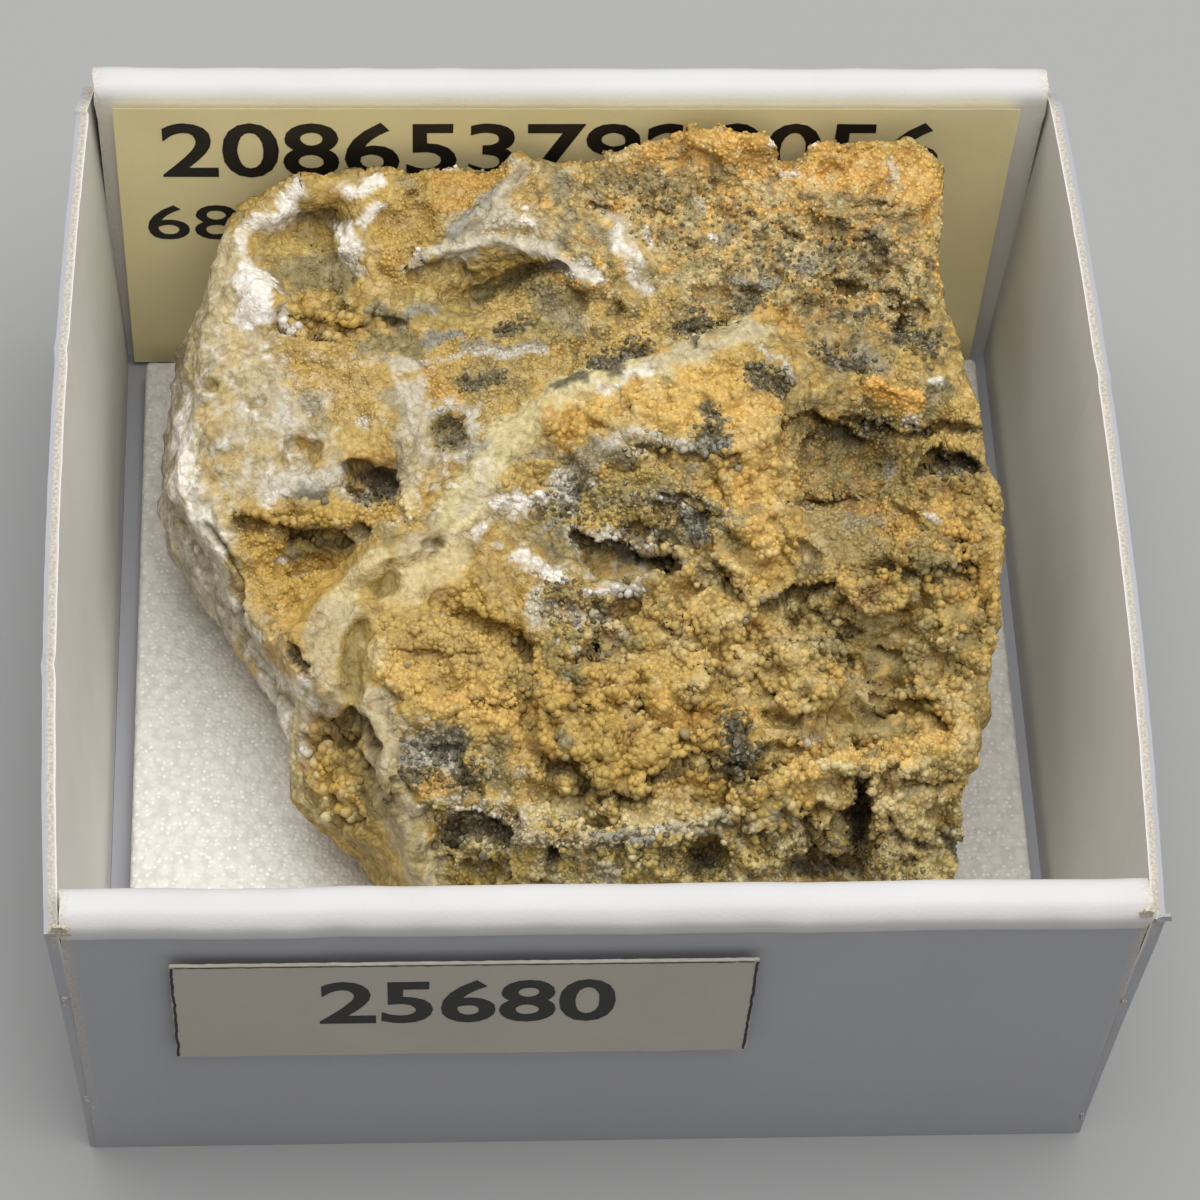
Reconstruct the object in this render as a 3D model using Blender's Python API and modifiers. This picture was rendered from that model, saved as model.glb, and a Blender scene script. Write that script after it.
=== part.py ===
"""Smithsonite specimen resting in a small folded-card box: pad, label card and sticker included."""
import bmesh
import bpy
import numpy as np
from mathutils import Vector, noise

MM = 0.001
GAP = 0.3 * MM

# Folded card tray, origin at the centre of its underside
TRAY_DEPTH = 39.5 * MM
FLOOR_HALF_WIDTH = 19.45 * MM
CORNER_LEAN = 0.55 * MM
MIDDLE_BULGE = 0.6 * MM
SIDE_WALL_HEIGHT = 17.4 * MM
SIDE_WALL_THICKNESS = 0.5 * MM
FLOOR_THICKNESS = 0.5 * MM
FOLD_HEIGHT = 18.2 * MM
FOLD_THICKNESS = 1.6 * MM
FOLD_ROUNDING = 0.7 * MM
FOLD_PROUD = 0.05 * MM

# Pad on the floor of the tray
PAD_SIZE = (36.4 * MM, 34.6 * MM, 1.2 * MM)
PAD_CENTRE = (0.1 * MM, -0.5 * MM)
PAD_EDGE_ROUNDING = 0.25 * MM

# Label card against the back wall
LABEL_SIZE = (36.9 * MM, 0.32 * MM, 17.2 * MM)
LABEL_CENTRE_X = -0.22 * MM

# Sticker on the front wall
STICKER_SIZE = (21.2 * MM, 0.12 * MM, 7.1 * MM)
STICKER_CENTRE = (-5.1 * MM, 12.1 * MM)

# The stone's own figures and tables are in millimetres.
# Its broken face is a plane that rises to the right and to the back.
FACE_HEIGHT = 12.9
FACE_RISE_TO_RIGHT = 0.09
FACE_RISE_TO_BACK = 0.155
STONE_CENTRE = (0.0, 1.0)
STONE_BACK_LIMIT = 17.1
CAGE_CUTS = 67
STONE_TRIANGLES = 7600

# Outline of the stone seen from above, back left corner first and then round by the left and the front.
# Each row has the rim of the broken face and the widest line of the flank below it, in millimetres.
OUTLINE = (
    ((-13.6, 16.2), (-14.2, 16.5)),
    ((-15.0, 11.6), (-16.1, 12.2)),
    ((-15.5, 6.9), (-16.8, 8.0)),
    ((-16.0, 3.2), (-16.7, 4.6)),
    ((-13.5, -1.0), (-14.3, 0.0)),
    ((-11.3, -5.2), (-12.0, -3.6)),
    ((-8.7, -7.2), (-11.3, -7.9)),
    ((-7.8, -10.3), (-8.3, -10.9)),
    ((-6.5, -13.4), (-6.9, -13.9)),
    ((-2.0, -13.9), (-2.1, -14.6)),
    ((3.5, -14.0), (3.6, -14.8)),
    ((9.0, -14.3), (9.1, -14.9)),
    ((13.5, -14.7), (13.4, -14.9)),
    ((14.3, -11.0), (13.9, -11.0)),
    ((15.5, -6.0), (14.9, -6.0)),
    ((16.3, -0.5), (15.6, -0.4)),
    ((15.7, 5.2), (15.0, 5.2)),
    ((14.8, 10.7), (14.2, 10.7)),
    ((14.5, 16.1), (14.0, 16.2)),
    ((9.5, 16.8), (9.4, 16.9)),
    ((5.0, 16.9), (5.0, 16.9)),
    ((0.8, 16.8), (0.8, 16.9)),
    ((-4.2, 16.7), (-4.3, 16.9)),
    ((-9.0, 16.6), (-9.1, 16.9)),
)
WAIST_LEVEL = 0.5
FOOT_SHRINK = 0.9
FOOT_SHIFT_TO_BACK = 0.3
RIM_ROUNDING = 0.3

# Roughness: depth and size of the lumps on the face, of its crust's cobbles, and of the flank's level sheets
FACE_LUMP = (0.3, 2.2)
COBBLE = (0.3, 1.6)
FORM_WOBBLE = 0.35
FLANK_SHEET = (0.45, 3.0)
FLANK_SHEET_SQUEEZE = 2.2
FLANK_LUMP = (0.3, 2.0)

# Crest of pale vein where the broken face turns down to the front flank
CREST = ((-7.5, -9.6), (-6.2, -10.4), (-3.6, -12.0), (0.2, -12.9), (3.2, -12.7), (5.5, -12.1), (7.8, -11.2),
         (10.1, -10.6), (14.2, -9.4))
CREST_HEIGHT = 0.5
CREST_HALF_WIDTH = 0.7
FRONT_SLOPE = 1.5

# Lumps and hollows of the broken face: name, x, y, radius along, radius across, turn in degrees, height.
# Flat-topped forms have a steep edge, round ones fall away gently.
FLAT_FORMS = (
    ("raised lobe", 4.9, 4.3, 5.0, 3.3, 25, 1.15),
    ("lobe tongue", 6.9, 0.6, 2.3, 2.7, -20, 0.75),
    ("lower lobe tip", 5.9, -1.6, 1.5, 1.5, 0, 0.8),
    ("ball boss", 1.3, -8.3, 3.9, 2.5, -8, 1.25),
    ("left sheet", -5.6, -5.7, 2.9, 2.3, -25, 0.9),
    ("grey cluster", 5.5, -9.5, 1.0, 1.2, 10, 0.9),
    ("right lumps", 13.6, -6.1, 1.5, 1.6, 0, 0.8),
    ("far right knob", 13.6, -1.6, 1.6, 1.1, 20, 0.6),
    ("middle lumps", 4.0, -3.9, 2.0, 1.6, -15, 0.6),
    ("recess lumps", 8.3, -6.6, 1.3, 1.0, 25, 1.0),
    ("slab below ledge", 11.0, -2.2, 3.1, 1.9, -12, 0.55),
    ("orange patch", 12.4, 6.5, 1.4, 1.2, 0, 0.6),
    ("left cap", -12.8, 11.5, 1.1, 1.3, 30, 0.55),
    ("far left matrix", -13.6, 6.0, 1.7, 3.0, 5, 0.35),
    ("back right block", 12.0, 14.6, 2.6, 2.6, 0, 0.45),
    ("upper left recess", -11.0, 13.3, 2.1, 2.5, 20, -1.15),
    ("recess throat", -10.6, 15.0, 1.2, 0.9, 0, -0.7),
    ("arc hollow", -3.5, 11.4, 2.0, 1.0, 8, -1.3),
    ("grey recess", -8.3, 9.4, 1.1, 0.6, 5, -0.55),
    ("shelf slit", -10.5, 0.7, 1.9, 0.55, 5, -1.5),
    ("ochre slope", -11.3, -0.9, 2.4, 2.4, -35, -1.3),
    ("upper cavity", -8.2, 3.1, 1.2, 0.75, 0, -1.6),
    ("matrix pit", -11.1, 4.3, 0.8, 0.6, 0, -0.8),
    ("ringed pit", -5.5, 4.9, 0.8, 0.8, 0, -0.6),
    ("cave over sheet", -3.8, -3.4, 2.1, 0.8, -28, -1.0),
    ("middle slot", 2.0, -0.9, 2.4, 0.85, -6, -1.9),
    ("olive recess", 10.7, 2.6, 2.4, 1.9, 10, -1.4),
    ("right hole", 14.2, 2.5, 1.0, 0.6, 10, -1.5),
    ("right shadow line", 12.6, 3.9, 2.4, 0.5, 8, -0.8),
    ("ledge line", 10.4, 0.9, 2.6, 0.45, -4, -0.7),
    ("lower recess", 11.0, -6.9, 2.2, 2.9, 10, -1.5),
    ("undercut below lobe", 7.4, -3.9, 2.0, 0.8, 12, -1.2),
    ("boss trough left", -0.9, -10.9, 1.6, 0.6, -28, -1.0),
    ("boss trough right", 4.0, -10.4, 1.1, 0.6, 40, -1.1),
    ("cluster pit", 6.0, -10.8, 0.7, 0.5, 0, -0.9),
    ("front left cave", -4.8, -12.2, 1.5, 1.0, -10, -1.2),
    ("front middle cave", 4.5, -13.6, 1.0, 1.1, 10, -1.4),
    ("front right cave", 8.6, -13.6, 1.7, 1.0, 0, -1.4),
    ("cleft", 10.2, -12.3, 0.65, 1.6, 8, -2.2),
    ("crest pocket", 8.6, -11.6, 0.9, 0.8, 0, -0.9),
    ("back notch", 8.8, 16.6, 0.8, 0.9, 0, -1.0),
    ("upper right pit", 11.3, 10.9, 0.7, 0.5, 0, -0.8),
    ("right pit", 13.1, 8.9, 0.8, 0.6, -30, -0.8),
)
ROUND_FORMS = (
    ("back peak", 5.2, 17.2, 2.8, 2.4, 0, 1.5),
    ("left shoulder", -14.5, 5.0, 3.5, 5.0, 0, -0.35),
    ("back left corner", -14.0, 16.5, 3.0, 2.6, 0, -0.6),
    ("grey slope", 11.8, 9.6, 3.0, 2.6, 0, -0.5),
    ("front left slope", -5.5, -10.0, 2.6, 1.8, 20, -0.5),
    ("right lower slope", 12.5, -13.0, 3.0, 2.0, 0, -0.4),
    ("upper field", -0.5, 9.0, 4.0, 2.0, 10, -0.35),
)

# Ridges of vein: name, half width, height, points
RIDGES = (
    ("vein band", 0.75, 0.7, ((-11.3, -3.6), (-9.6, -1.5), (-7.2, 0.3), (-4.0, 2.3), (-2.2, 4.7), (0.9, 6.9),
                              (4.9, 8.6), (8.7, 9.9))),
    ("arc ridge", 0.55, 0.9, ((-7.0, 12.2), (-5.5, 13.3), (-3.0, 13.8), (-0.7, 12.9), (0.7, 11.5))),
    ("ridge to the back", 0.6, 0.5, ((-2.1, 16.6), (-3.8, 14.9), (-5.6, 13.4))),
    ("recess rim", 0.6, 0.6, ((-13.2, 13.6), (-12.3, 15.6), (-10.4, 16.3), (-9.0, 14.8), (-8.8, 12.6))),
    ("lump row", 0.45, 0.35, ((-11.6, 10.6), (-9.6, 10.2), (-8.0, 10.4))),
    ("drip", 0.42, 0.6, ((-7.1, 4.9), (-6.9, 3.0), (-6.6, 1.4))),
    ("slot rim", 0.45, 0.4, ((-0.4, -2.3), (2.0, -2.5), (4.4, -2.1))),
    ("slab lip", 0.5, 0.55, ((5.9, -4.4), (8.3, -3.3), (10.4, -4.3), (12.1, -2.9), (14.4, -1.6))),
    ("left curtain", 0.55, 0.45, ((-11.2, -4.8), (-9.4, -6.2), (-8.5, -8.0), (-7.6, -10.6), (-6.9, -12.9))),
)

CARD_WHITE = (0.86, 0.86, 0.87)
FOAM_WHITE = (0.82, 0.80, 0.76)
LABEL_YELLOW = (0.66, 0.58, 0.34)
STICKER_CREAM = (0.60, 0.57, 0.48)
STONE_OCHRE = (0.50, 0.36, 0.16)


def clear_scene():
    for obj in list(bpy.data.objects):
        bpy.data.objects.remove(obj, do_unlink=True)


def new_collection(name):
    collection = bpy.data.collections.new(name)
    bpy.context.scene.collection.children.link(collection)
    return collection


def material(name, colour, roughness):
    mat = bpy.data.materials.new(name)
    mat.use_nodes = True
    shader = mat.node_tree.nodes["Principled BSDF"]
    shader.inputs["Base Color"].default_value = (*colour, 1.0)
    shader.inputs["Roughness"].default_value = roughness
    shader.inputs["Metallic"].default_value = 0.0
    return mat


def object_from_bmesh(name, bm, collection, mat=None):
    mesh = bpy.data.meshes.new(name)
    bmesh.ops.recalc_face_normals(bm, faces=bm.faces)
    bm.to_mesh(mesh)
    bm.free()
    obj = bpy.data.objects.new(name, mesh)
    collection.objects.link(obj)
    if mat:
        mesh.materials.append(mat)
    return obj


def box_bmesh(low, high):
    bm = bmesh.new()
    bmesh.ops.create_cube(bm, size=1.0)
    centre = [(a + b) / 2 for a, b in zip(low, high)]
    size = [b - a for a, b in zip(low, high)]
    bmesh.ops.scale(bm, vec=size, verts=bm.verts)
    bmesh.ops.translate(bm, vec=centre, verts=bm.verts)
    return bm


def boolean(obj, cutter, operation):
    modifier = obj.modifiers.new(cutter.name, "BOOLEAN")
    modifier.object = cutter
    modifier.operation = operation
    modifier.solver = "EXACT"
    cutter.hide_render = True
    cutter.display_type = "WIRE"


def bulged_box(low, high, thickness):
    """Box whose side walls lean out towards the top and swell in the middle, as a folded card box does."""
    bm = box_bmesh(low, high)
    for share in (-0.75, -0.5, -0.25, 0.0, 0.25, 0.5, 0.75):
        geometry = bm.verts[:] + bm.edges[:] + bm.faces[:]
        bmesh.ops.bisect_plane(bm, geom=geometry, plane_co=(0, share * TRAY_DEPTH / 2, 0), plane_no=(0, 1, 0))
    for share in (0.35, 0.7):
        geometry = bm.verts[:] + bm.edges[:] + bm.faces[:]
        bmesh.ops.bisect_plane(bm, geom=geometry, plane_co=(0, 0, share * SIDE_WALL_HEIGHT), plane_no=(0, 0, 1))
    for vert in bm.verts:
        rise = max(vert.co.z, 0.0) / SIDE_WALL_HEIGHT
        middle = 1.0 - (2.0 * vert.co.y / TRAY_DEPTH) ** 2
        half_width = FLOOR_HALF_WIDTH + (CORNER_LEAN + MIDDLE_BULGE * middle) * rise ** 1.3 - thickness
        vert.co.x = half_width if vert.co.x > 0 else -half_width
    return bm


def build_tray(parts, cutters):
    half_depth = TRAY_DEPTH / 2
    reach = FLOOR_HALF_WIDTH
    shell = bulged_box((-reach, -half_depth, 0.0), (reach, half_depth, SIDE_WALL_HEIGHT), 0.0)
    tray = object_from_bmesh("card_tray", shell, parts, material("white_card", CARD_WHITE, 0.6))
    inner_half_depth = half_depth - FOLD_THICKNESS
    well = bulged_box((-reach, -inner_half_depth, FLOOR_THICKNESS),
                      (reach, inner_half_depth, FOLD_HEIGHT + FOLD_THICKNESS), SIDE_WALL_THICKNESS)
    boolean(tray, object_from_bmesh("tray_well", well, cutters), "DIFFERENCE")
    for name, side in (("front_fold", -1), ("back_fold", 1)):
        outer = side * (half_depth + FOLD_PROUD)
        inner = side * inner_half_depth
        low = (-reach + SIDE_WALL_THICKNESS / 2, min(outer, inner), FLOOR_THICKNESS / 2)
        high = (reach - SIDE_WALL_THICKNESS / 2, max(outer, inner), FOLD_HEIGHT)
        bm = box_bmesh(low, high)
        top_edges = [e for e in bm.edges if all(abs(v.co.z - FOLD_HEIGHT) < GAP for v in e.verts)]
        long_edges = [e for e in top_edges if abs(e.verts[0].co.y - e.verts[1].co.y) < GAP]
        bmesh.ops.bevel(bm, geom=long_edges, offset=FOLD_ROUNDING, segments=4, profile=0.5, affect="EDGES")
        boolean(tray, object_from_bmesh(name, bm, cutters), "UNION")


def build_pad(parts):
    floor = FLOOR_THICKNESS + GAP
    centre_x, centre_y = PAD_CENTRE
    low = (centre_x - PAD_SIZE[0] / 2, centre_y - PAD_SIZE[1] / 2, floor)
    high = (centre_x + PAD_SIZE[0] / 2, centre_y + PAD_SIZE[1] / 2, floor + PAD_SIZE[2])
    pad = object_from_bmesh("foam_pad", box_bmesh(low, high), parts, material("white_foam", FOAM_WHITE, 0.8))
    bevel = pad.modifiers.new("soft_edge", "BEVEL")
    bevel.width = PAD_EDGE_ROUNDING
    bevel.segments = 2
    return high[2]


def build_label(parts):
    inner_back = TRAY_DEPTH / 2 - FOLD_THICKNESS - GAP
    floor = FLOOR_THICKNESS + GAP
    low = (LABEL_CENTRE_X - LABEL_SIZE[0] / 2, inner_back - LABEL_SIZE[1], floor)
    high = (LABEL_CENTRE_X + LABEL_SIZE[0] / 2, inner_back, floor + LABEL_SIZE[2])
    object_from_bmesh("label_card", box_bmesh(low, high), parts, material("yellow_card", LABEL_YELLOW, 0.7))


def build_sticker(parts):
    wall = -TRAY_DEPTH / 2 - FOLD_PROUD - GAP
    centre_x, centre_z = STICKER_CENTRE
    low = (centre_x - STICKER_SIZE[0] / 2, wall - STICKER_SIZE[1], centre_z - STICKER_SIZE[2] / 2)
    high = (centre_x + STICKER_SIZE[0] / 2, wall, centre_z + STICKER_SIZE[2] / 2)
    object_from_bmesh("number_sticker", box_bmesh(low, high), parts,
                      material("cream_paper", STICKER_CREAM, 0.65))


def smooth(t):
    t = np.clip(t, 0.0, 1.0)
    return t * t * (3.0 - 2.0 * t)


def closed_curve(points, t):
    """Point at t on the closed Catmull-Rom curve through the points, one unit of t for each of them."""
    points = np.asarray(points)
    count = len(points)
    index = np.floor(t).astype(int) % count
    s = (t - np.floor(t))[:, None]
    p0, p1, p2, p3 = (points[(index + k) % count] for k in (-1, 0, 1, 2))
    return 0.5 * (2 * p1 + (p2 - p0) * s + (2 * p0 - 5 * p1 + 4 * p2 - p3) * s ** 2
                  + (3 * p1 - p0 - 3 * p2 + p3) * s ** 3)


def distance_to_line(x, y, points):
    """Distance from each place to a line of straight stretches."""
    best = np.full(x.shape, 1e9)
    for (ax, ay), (bx, by) in zip(points, points[1:]):
        length2 = (bx - ax) ** 2 + (by - ay) ** 2
        along = np.clip(((x - ax) * (bx - ax) + (y - ay) * (by - ay)) / length2, 0.0, 1.0)
        best = np.minimum(best, np.hypot(x - ax - along * (bx - ax), y - ay - along * (by - ay)))
    return best


def form_distance(x, y, form):
    """Distance from a form's middle, 1 at its edge."""
    _, cx, cy, along, across, turn, _ = form
    angle = np.radians(turn)
    u = (x - cx) * np.cos(angle) + (y - cy) * np.sin(angle)
    v = -(x - cx) * np.sin(angle) + (y - cy) * np.cos(angle)
    return np.hypot(u / along, v / across)


def roughness(x, y, z, size, octaves):
    """Fractal noise, about -1 to 1, with its largest lumps of the given size."""
    return np.array([noise.fractal(Vector((a, b, c)) / size, 1.0, 2.0, octaves)
                     for a, b, c in zip(x, y, z)])


def cobbles(x, y, z, size):
    """Rounded balls packed side by side: 1 on their tops and 0 in the joints."""
    heights = []
    for a, b, c in zip(x, y, z):
        near = noise.voronoi(Vector((a, b, c)) / size)[0]
        heights.append(min(1.0, 2.0 * (near[1] - near[0])))
    return np.sqrt(np.array(heights))


def face_height(x, y):
    """Height of the broken face, in millimetres above the tray's underside."""
    lump_height, lump_size = FACE_LUMP
    cobble_height, cobble_size = COBBLE
    level = np.zeros_like(x)
    wobble = roughness(x, y, level, lump_size, 2)
    wx = x + FORM_WOBBLE * wobble
    wy = y + FORM_WOBBLE * roughness(x, y, level + 3 * lump_size, lump_size, 2)
    z = FACE_HEIGHT + FACE_RISE_TO_RIGHT * x + FACE_RISE_TO_BACK * y
    for form in FLAT_FORMS:
        z = z + form[-1] * smooth((1.3 - form_distance(wx, wy, form)) / 0.6)
    for form in ROUND_FORMS:
        z = z + form[-1] * np.exp(-form_distance(wx, wy, form) ** 2)
    for _, half_width, height, points in RIDGES:
        z = z + height * np.exp(-(distance_to_line(wx, wy, points) / half_width) ** 2)
    crest_x, crest_y = zip(*CREST)
    beyond = np.interp(wx, crest_x, crest_y) - wy
    z = z + CREST_HEIGHT * np.exp(-(beyond / CREST_HALF_WIDTH) ** 2)
    z = z - FRONT_SLOPE * np.maximum(beyond - CREST_HALF_WIDTH / 2, 0.0)
    return z + lump_height * wobble + cobble_height * cobbles(x, y, level, cobble_size)


def shape_stone(vertices, floor):
    """Turn the lattice of a unit cube into the stone: its top is the broken face, its sides are the flank."""
    a, b, c = vertices.T
    radius = np.maximum(np.abs(a), np.abs(b))
    safe = np.where(radius > 0, radius, 1.0)
    u = a / safe
    v = b / safe
    quarter = len(OUTLINE) / 4
    turn = np.select([(u <= -1 + 1e-6) & (v < 1 - 1e-6), v <= -1 + 1e-6, u >= 1 - 1e-6],
                     [(1 - v) / 2, 1 + (u + 1) / 2, 2 + (v + 1) / 2], 3 + (1 - u) / 2)
    rim, waist = (closed_curve([row[k] for row in OUTLINE], turn * quarter) for k in (0, 1))
    foot = waist * FOOT_SHRINK + np.array([0.0, FOOT_SHIFT_TO_BACK])
    level = (c + 1) / 2
    lower = smooth(level / WAIST_LEVEL)[:, None] ** 0.7
    upper = smooth((level - WAIST_LEVEL) / (1 - WAIST_LEVEL))[:, None]
    edge = foot + (waist - foot) * lower + (rim - waist) * upper
    centre = np.array(STONE_CENTRE)
    plan = centre + (edge - centre) * radius[:, None]
    x, y = plan.T
    rim_plan = centre + (rim - centre) * radius[:, None]
    top = face_height(rim_plan[:, 0], rim_plan[:, 1]) - RIM_ROUNDING * smooth((radius - 0.93) / 0.07)
    z = floor + (top - floor) * level
    # The flank is rough between the flat foot and the rim, and its sheets of vein run level round the stone
    sheet_depth, sheet_size = FLANK_SHEET
    lump_depth, lump_size = FLANK_LUMP
    push = (sheet_depth * roughness(x, y, FLANK_SHEET_SQUEEZE * z, sheet_size, 3)
            + lump_depth * roughness(x, y, z + 3 * lump_size, lump_size, 2))
    push = push * (np.abs(c) < 1 - 1e-6) * np.minimum(level * 5, 1.0) * np.minimum((1 - level) * 8, 1.0)
    outward = (edge - centre) / np.linalg.norm(edge - centre, axis=1)[:, None]
    x = x + push * outward[:, 0]
    y = np.minimum(y + push * outward[:, 1], STONE_BACK_LIMIT)
    return np.stack([x, y, z], axis=1) * MM


def build_stone(parts, floor):
    bm = bmesh.new()
    bmesh.ops.create_cube(bm, size=2.0)
    bmesh.ops.subdivide_edges(bm, edges=bm.edges, cuts=CAGE_CUTS, use_grid_fill=True)
    lattice = np.array([vert.co[:] for vert in bm.verts])
    for vert, place in zip(bm.verts, shape_stone(lattice, (floor + GAP) / MM)):
        vert.co = place
    triangles = 2 * len(bm.faces)
    stone = object_from_bmesh("smithsonite_specimen", bm, parts, material("ochre_stone", STONE_OCHRE, 0.75))
    thin = stone.modifiers.new("fewer_facets", "DECIMATE")
    thin.ratio = STONE_TRIANGLES / triangles
    thin.use_collapse_triangulate = True


def main():
    clear_scene()
    parts = new_collection("smithsonite_in_card_box")
    cutters = new_collection("cutters")
    build_tray(parts, cutters)
    pad_top = build_pad(parts)
    build_label(parts)
    build_sticker(parts)
    build_stone(parts, pad_top)


main()
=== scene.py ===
import math

import bpy
import numpy as np
from mathutils import Matrix, Vector, noise


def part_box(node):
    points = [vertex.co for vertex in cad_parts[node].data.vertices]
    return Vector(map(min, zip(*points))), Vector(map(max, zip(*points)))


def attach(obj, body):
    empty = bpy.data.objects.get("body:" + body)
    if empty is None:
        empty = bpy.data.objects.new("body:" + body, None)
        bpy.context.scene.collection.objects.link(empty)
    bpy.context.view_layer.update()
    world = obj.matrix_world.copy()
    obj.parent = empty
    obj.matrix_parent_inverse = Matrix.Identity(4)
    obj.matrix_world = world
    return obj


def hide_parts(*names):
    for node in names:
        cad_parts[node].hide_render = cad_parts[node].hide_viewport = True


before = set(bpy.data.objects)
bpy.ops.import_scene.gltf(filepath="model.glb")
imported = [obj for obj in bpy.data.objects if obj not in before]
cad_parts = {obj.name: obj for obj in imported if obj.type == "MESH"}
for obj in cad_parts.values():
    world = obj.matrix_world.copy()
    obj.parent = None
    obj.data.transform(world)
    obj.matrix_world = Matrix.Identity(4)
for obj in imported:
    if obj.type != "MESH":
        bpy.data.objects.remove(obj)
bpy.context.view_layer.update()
mm = 0.001
tiny = 1e-6   # metres, for places that are the same
dice = np.random.default_rng(7)
bpy.ops.object.select_all(action="DESELECT")


# A new object for some data, put in the scene.
def linked(name, data):
    obj = bpy.data.objects.new(name, data)
    bpy.context.scene.collection.objects.link(obj)
    return obj


# Camera: at the photograph's angle, 167 mm from the stone, with a long lens
camera = {
    "pixels": 1200,
    "lens": 119.85,
    "sensor": 36.0,
    "place": (-8.482 * mm, -87.31 * mm, 142.78 * mm),
    "lookDown": 56.839,
    "turn": -6.0709,
    "roll": 4.71,
}


def makeCamera():
    data = bpy.data.cameras.new("camera")
    data.lens = camera["lens"]
    data.sensor_width = camera["sensor"]
    data.clip_start = 0.01
    data.clip_end = 10.0
    eye = linked("camera", data)
    turned = Matrix.Rotation(math.radians(camera["turn"]), 4, "Z")
    tipped = Matrix.Rotation(math.radians(90 - camera["lookDown"]), 4, "X")
    rolled = Matrix.Rotation(math.radians(camera["roll"]), 4, "Z")
    eye.matrix_world = Matrix.Translation(camera["place"]) @ turned @ tipped @ rolled
    bpy.context.scene.camera = eye
    return eye


eye = makeCamera()
eyePlace = np.array(camera["place"])
bpy.context.view_layer.update()
print("camera made")


# Photo pixels, across and down, of an array of places.
def toPhoto(points):
    view = np.array(eye.matrix_world.inverted())
    seen = points @ view[:3, :3].T + view[:3, 3]
    scale = camera["lens"] / camera["sensor"] * camera["pixels"]
    half = camera["pixels"] / 2
    return half + scale * seen[:, 0] / -seen[:, 2], half - scale * seen[:, 1] / -seen[:, 2]


# Shader maths: a socket that can be added, multiplied and so on
class Value:
    def __init__(self, maker, socket):
        self.maker = maker
        self.socket = socket

    def math(self, operation, first, second):
        return self.maker.node("ShaderNodeMath", {"operation": operation}, {0: first, 1: second})

    def __add__(self, other):
        return self.math("ADD", self, other)

    def __mul__(self, other):
        return self.math("MULTIPLY", self, other)

    def __rsub__(self, other):
        return self.math("SUBTRACT", other, self)

    __radd__ = __add__
    __rmul__ = __mul__

    def ramp(self, low, high):   # 0 below low, 1 above high, soft between
        return self.maker.node("ShaderNodeMapRange", {"interpolation_type": "SMOOTHSTEP", "clamp": True},
                               {"Value": self, "From Min": low, "From Max": high})


class Finish:
    def __init__(self, name, roughness=0.6):
        self.material = bpy.data.materials.new(name)
        self.material.use_nodes = True
        self.tree = self.material.node_tree
        self.shader = self.tree.nodes["Principled BSDF"]
        self.shader.inputs["Roughness"].default_value = roughness

    def node(self, kind, settings=None, inputs=None, output=0):
        node = self.tree.nodes.new(kind)
        for name, value in (settings or {}).items():
            setattr(node, name, value)
        for name, value in (inputs or {}).items():
            self.plug(node.inputs[name], value)
        return Value(self, node.outputs[output])

    def plug(self, socket, value):
        if isinstance(value, Value):
            self.tree.links.new(value.socket, socket)
        else:
            socket.default_value = value

    def where(self):   # the place on the piece, in metres
        return self.node("ShaderNodeTexCoord", output="Object")

    def attribute(self, name, output="Fac"):
        return self.node("ShaderNodeAttribute", {"attribute_name": name}, output=output)

    def grain(self, size, detail=3.0, rough=0.6, output=0):   # noise with lumps of that size
        return self.node("ShaderNodeTexNoise", inputs={
            "Vector": self.where(), "Scale": 1 / size, "Detail": detail, "Roughness": rough}, output=output)

    def cells(self, size, place=None, output="Distance"):   # a cell's distance or its own colour
        return self.node("ShaderNodeTexVoronoi", inputs={
            "Vector": place or self.where(), "Scale": 1 / size}, output=output)

    def brightness(self, colour):
        return self.node("ShaderNodeRGBToBW", inputs={"Color": colour})

    def mix(self, share, first, second, blend="MIX"):
        return self.node("ShaderNodeMix", {"data_type": "RGBA", "blend_type": blend},
                         {0: share, 6: first, 7: second}, 2)

    def bump(self, height, distance):
        return self.node("ShaderNodeBump", inputs={"Height": height, "Distance": distance})

    def finish(self, **sockets):
        for name, value in sockets.items():
            self.plug(self.shader.inputs[name.replace("_", " ")], value)
        return self.material


# Linear colour of an 8-bit screen colour, none of them near black.
def paint(red, green, blue):
    return tuple(((c / 255 + 0.055) / 1.055) ** 2.4 for c in (red, green, blue)) + (1.0,)


def only(obj):
    bpy.ops.object.select_all(action="DESELECT")
    obj.select_set(True)
    bpy.context.view_layer.objects.active = obj


def applied(obj, kind, **settings):
    only(obj)
    modifier = obj.modifiers.new(kind.lower(), kind)
    for name, value in settings.items():
        setattr(modifier, name, value)
    bpy.ops.object.modifier_apply(modifier=modifier.name)


# Into edit mode with all of a mesh selected, or none of it.
def edit(obj, action="SELECT"):
    only(obj)
    bpy.ops.object.mode_set(mode="EDIT")
    bpy.ops.mesh.select_all(action=action)


def editDone():
    bpy.ops.object.mode_set(mode="OBJECT")


def faceOutwards(obj):
    edit(obj)
    bpy.ops.mesh.normals_make_consistent(inside=False)
    editDone()


# A copy of a CAD node's mesh with its loose triangles merged.
def copyOf(node):
    obj = linked(node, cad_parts[node].data.copy())
    edit(obj)
    bpy.ops.mesh.remove_doubles(threshold=tiny)
    editDone()
    return obj


# Box between two corners.
def block(low, high):
    low, high = Vector(low), Vector(high)
    bpy.ops.object.select_all(action="DESELECT")
    bpy.ops.mesh.primitive_cube_add(size=1, location=(low + high) / 2)
    obj = bpy.context.object
    obj.scale = high - low
    bpy.ops.object.transform_apply(location=True, rotation=True, scale=True)
    return obj


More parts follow.
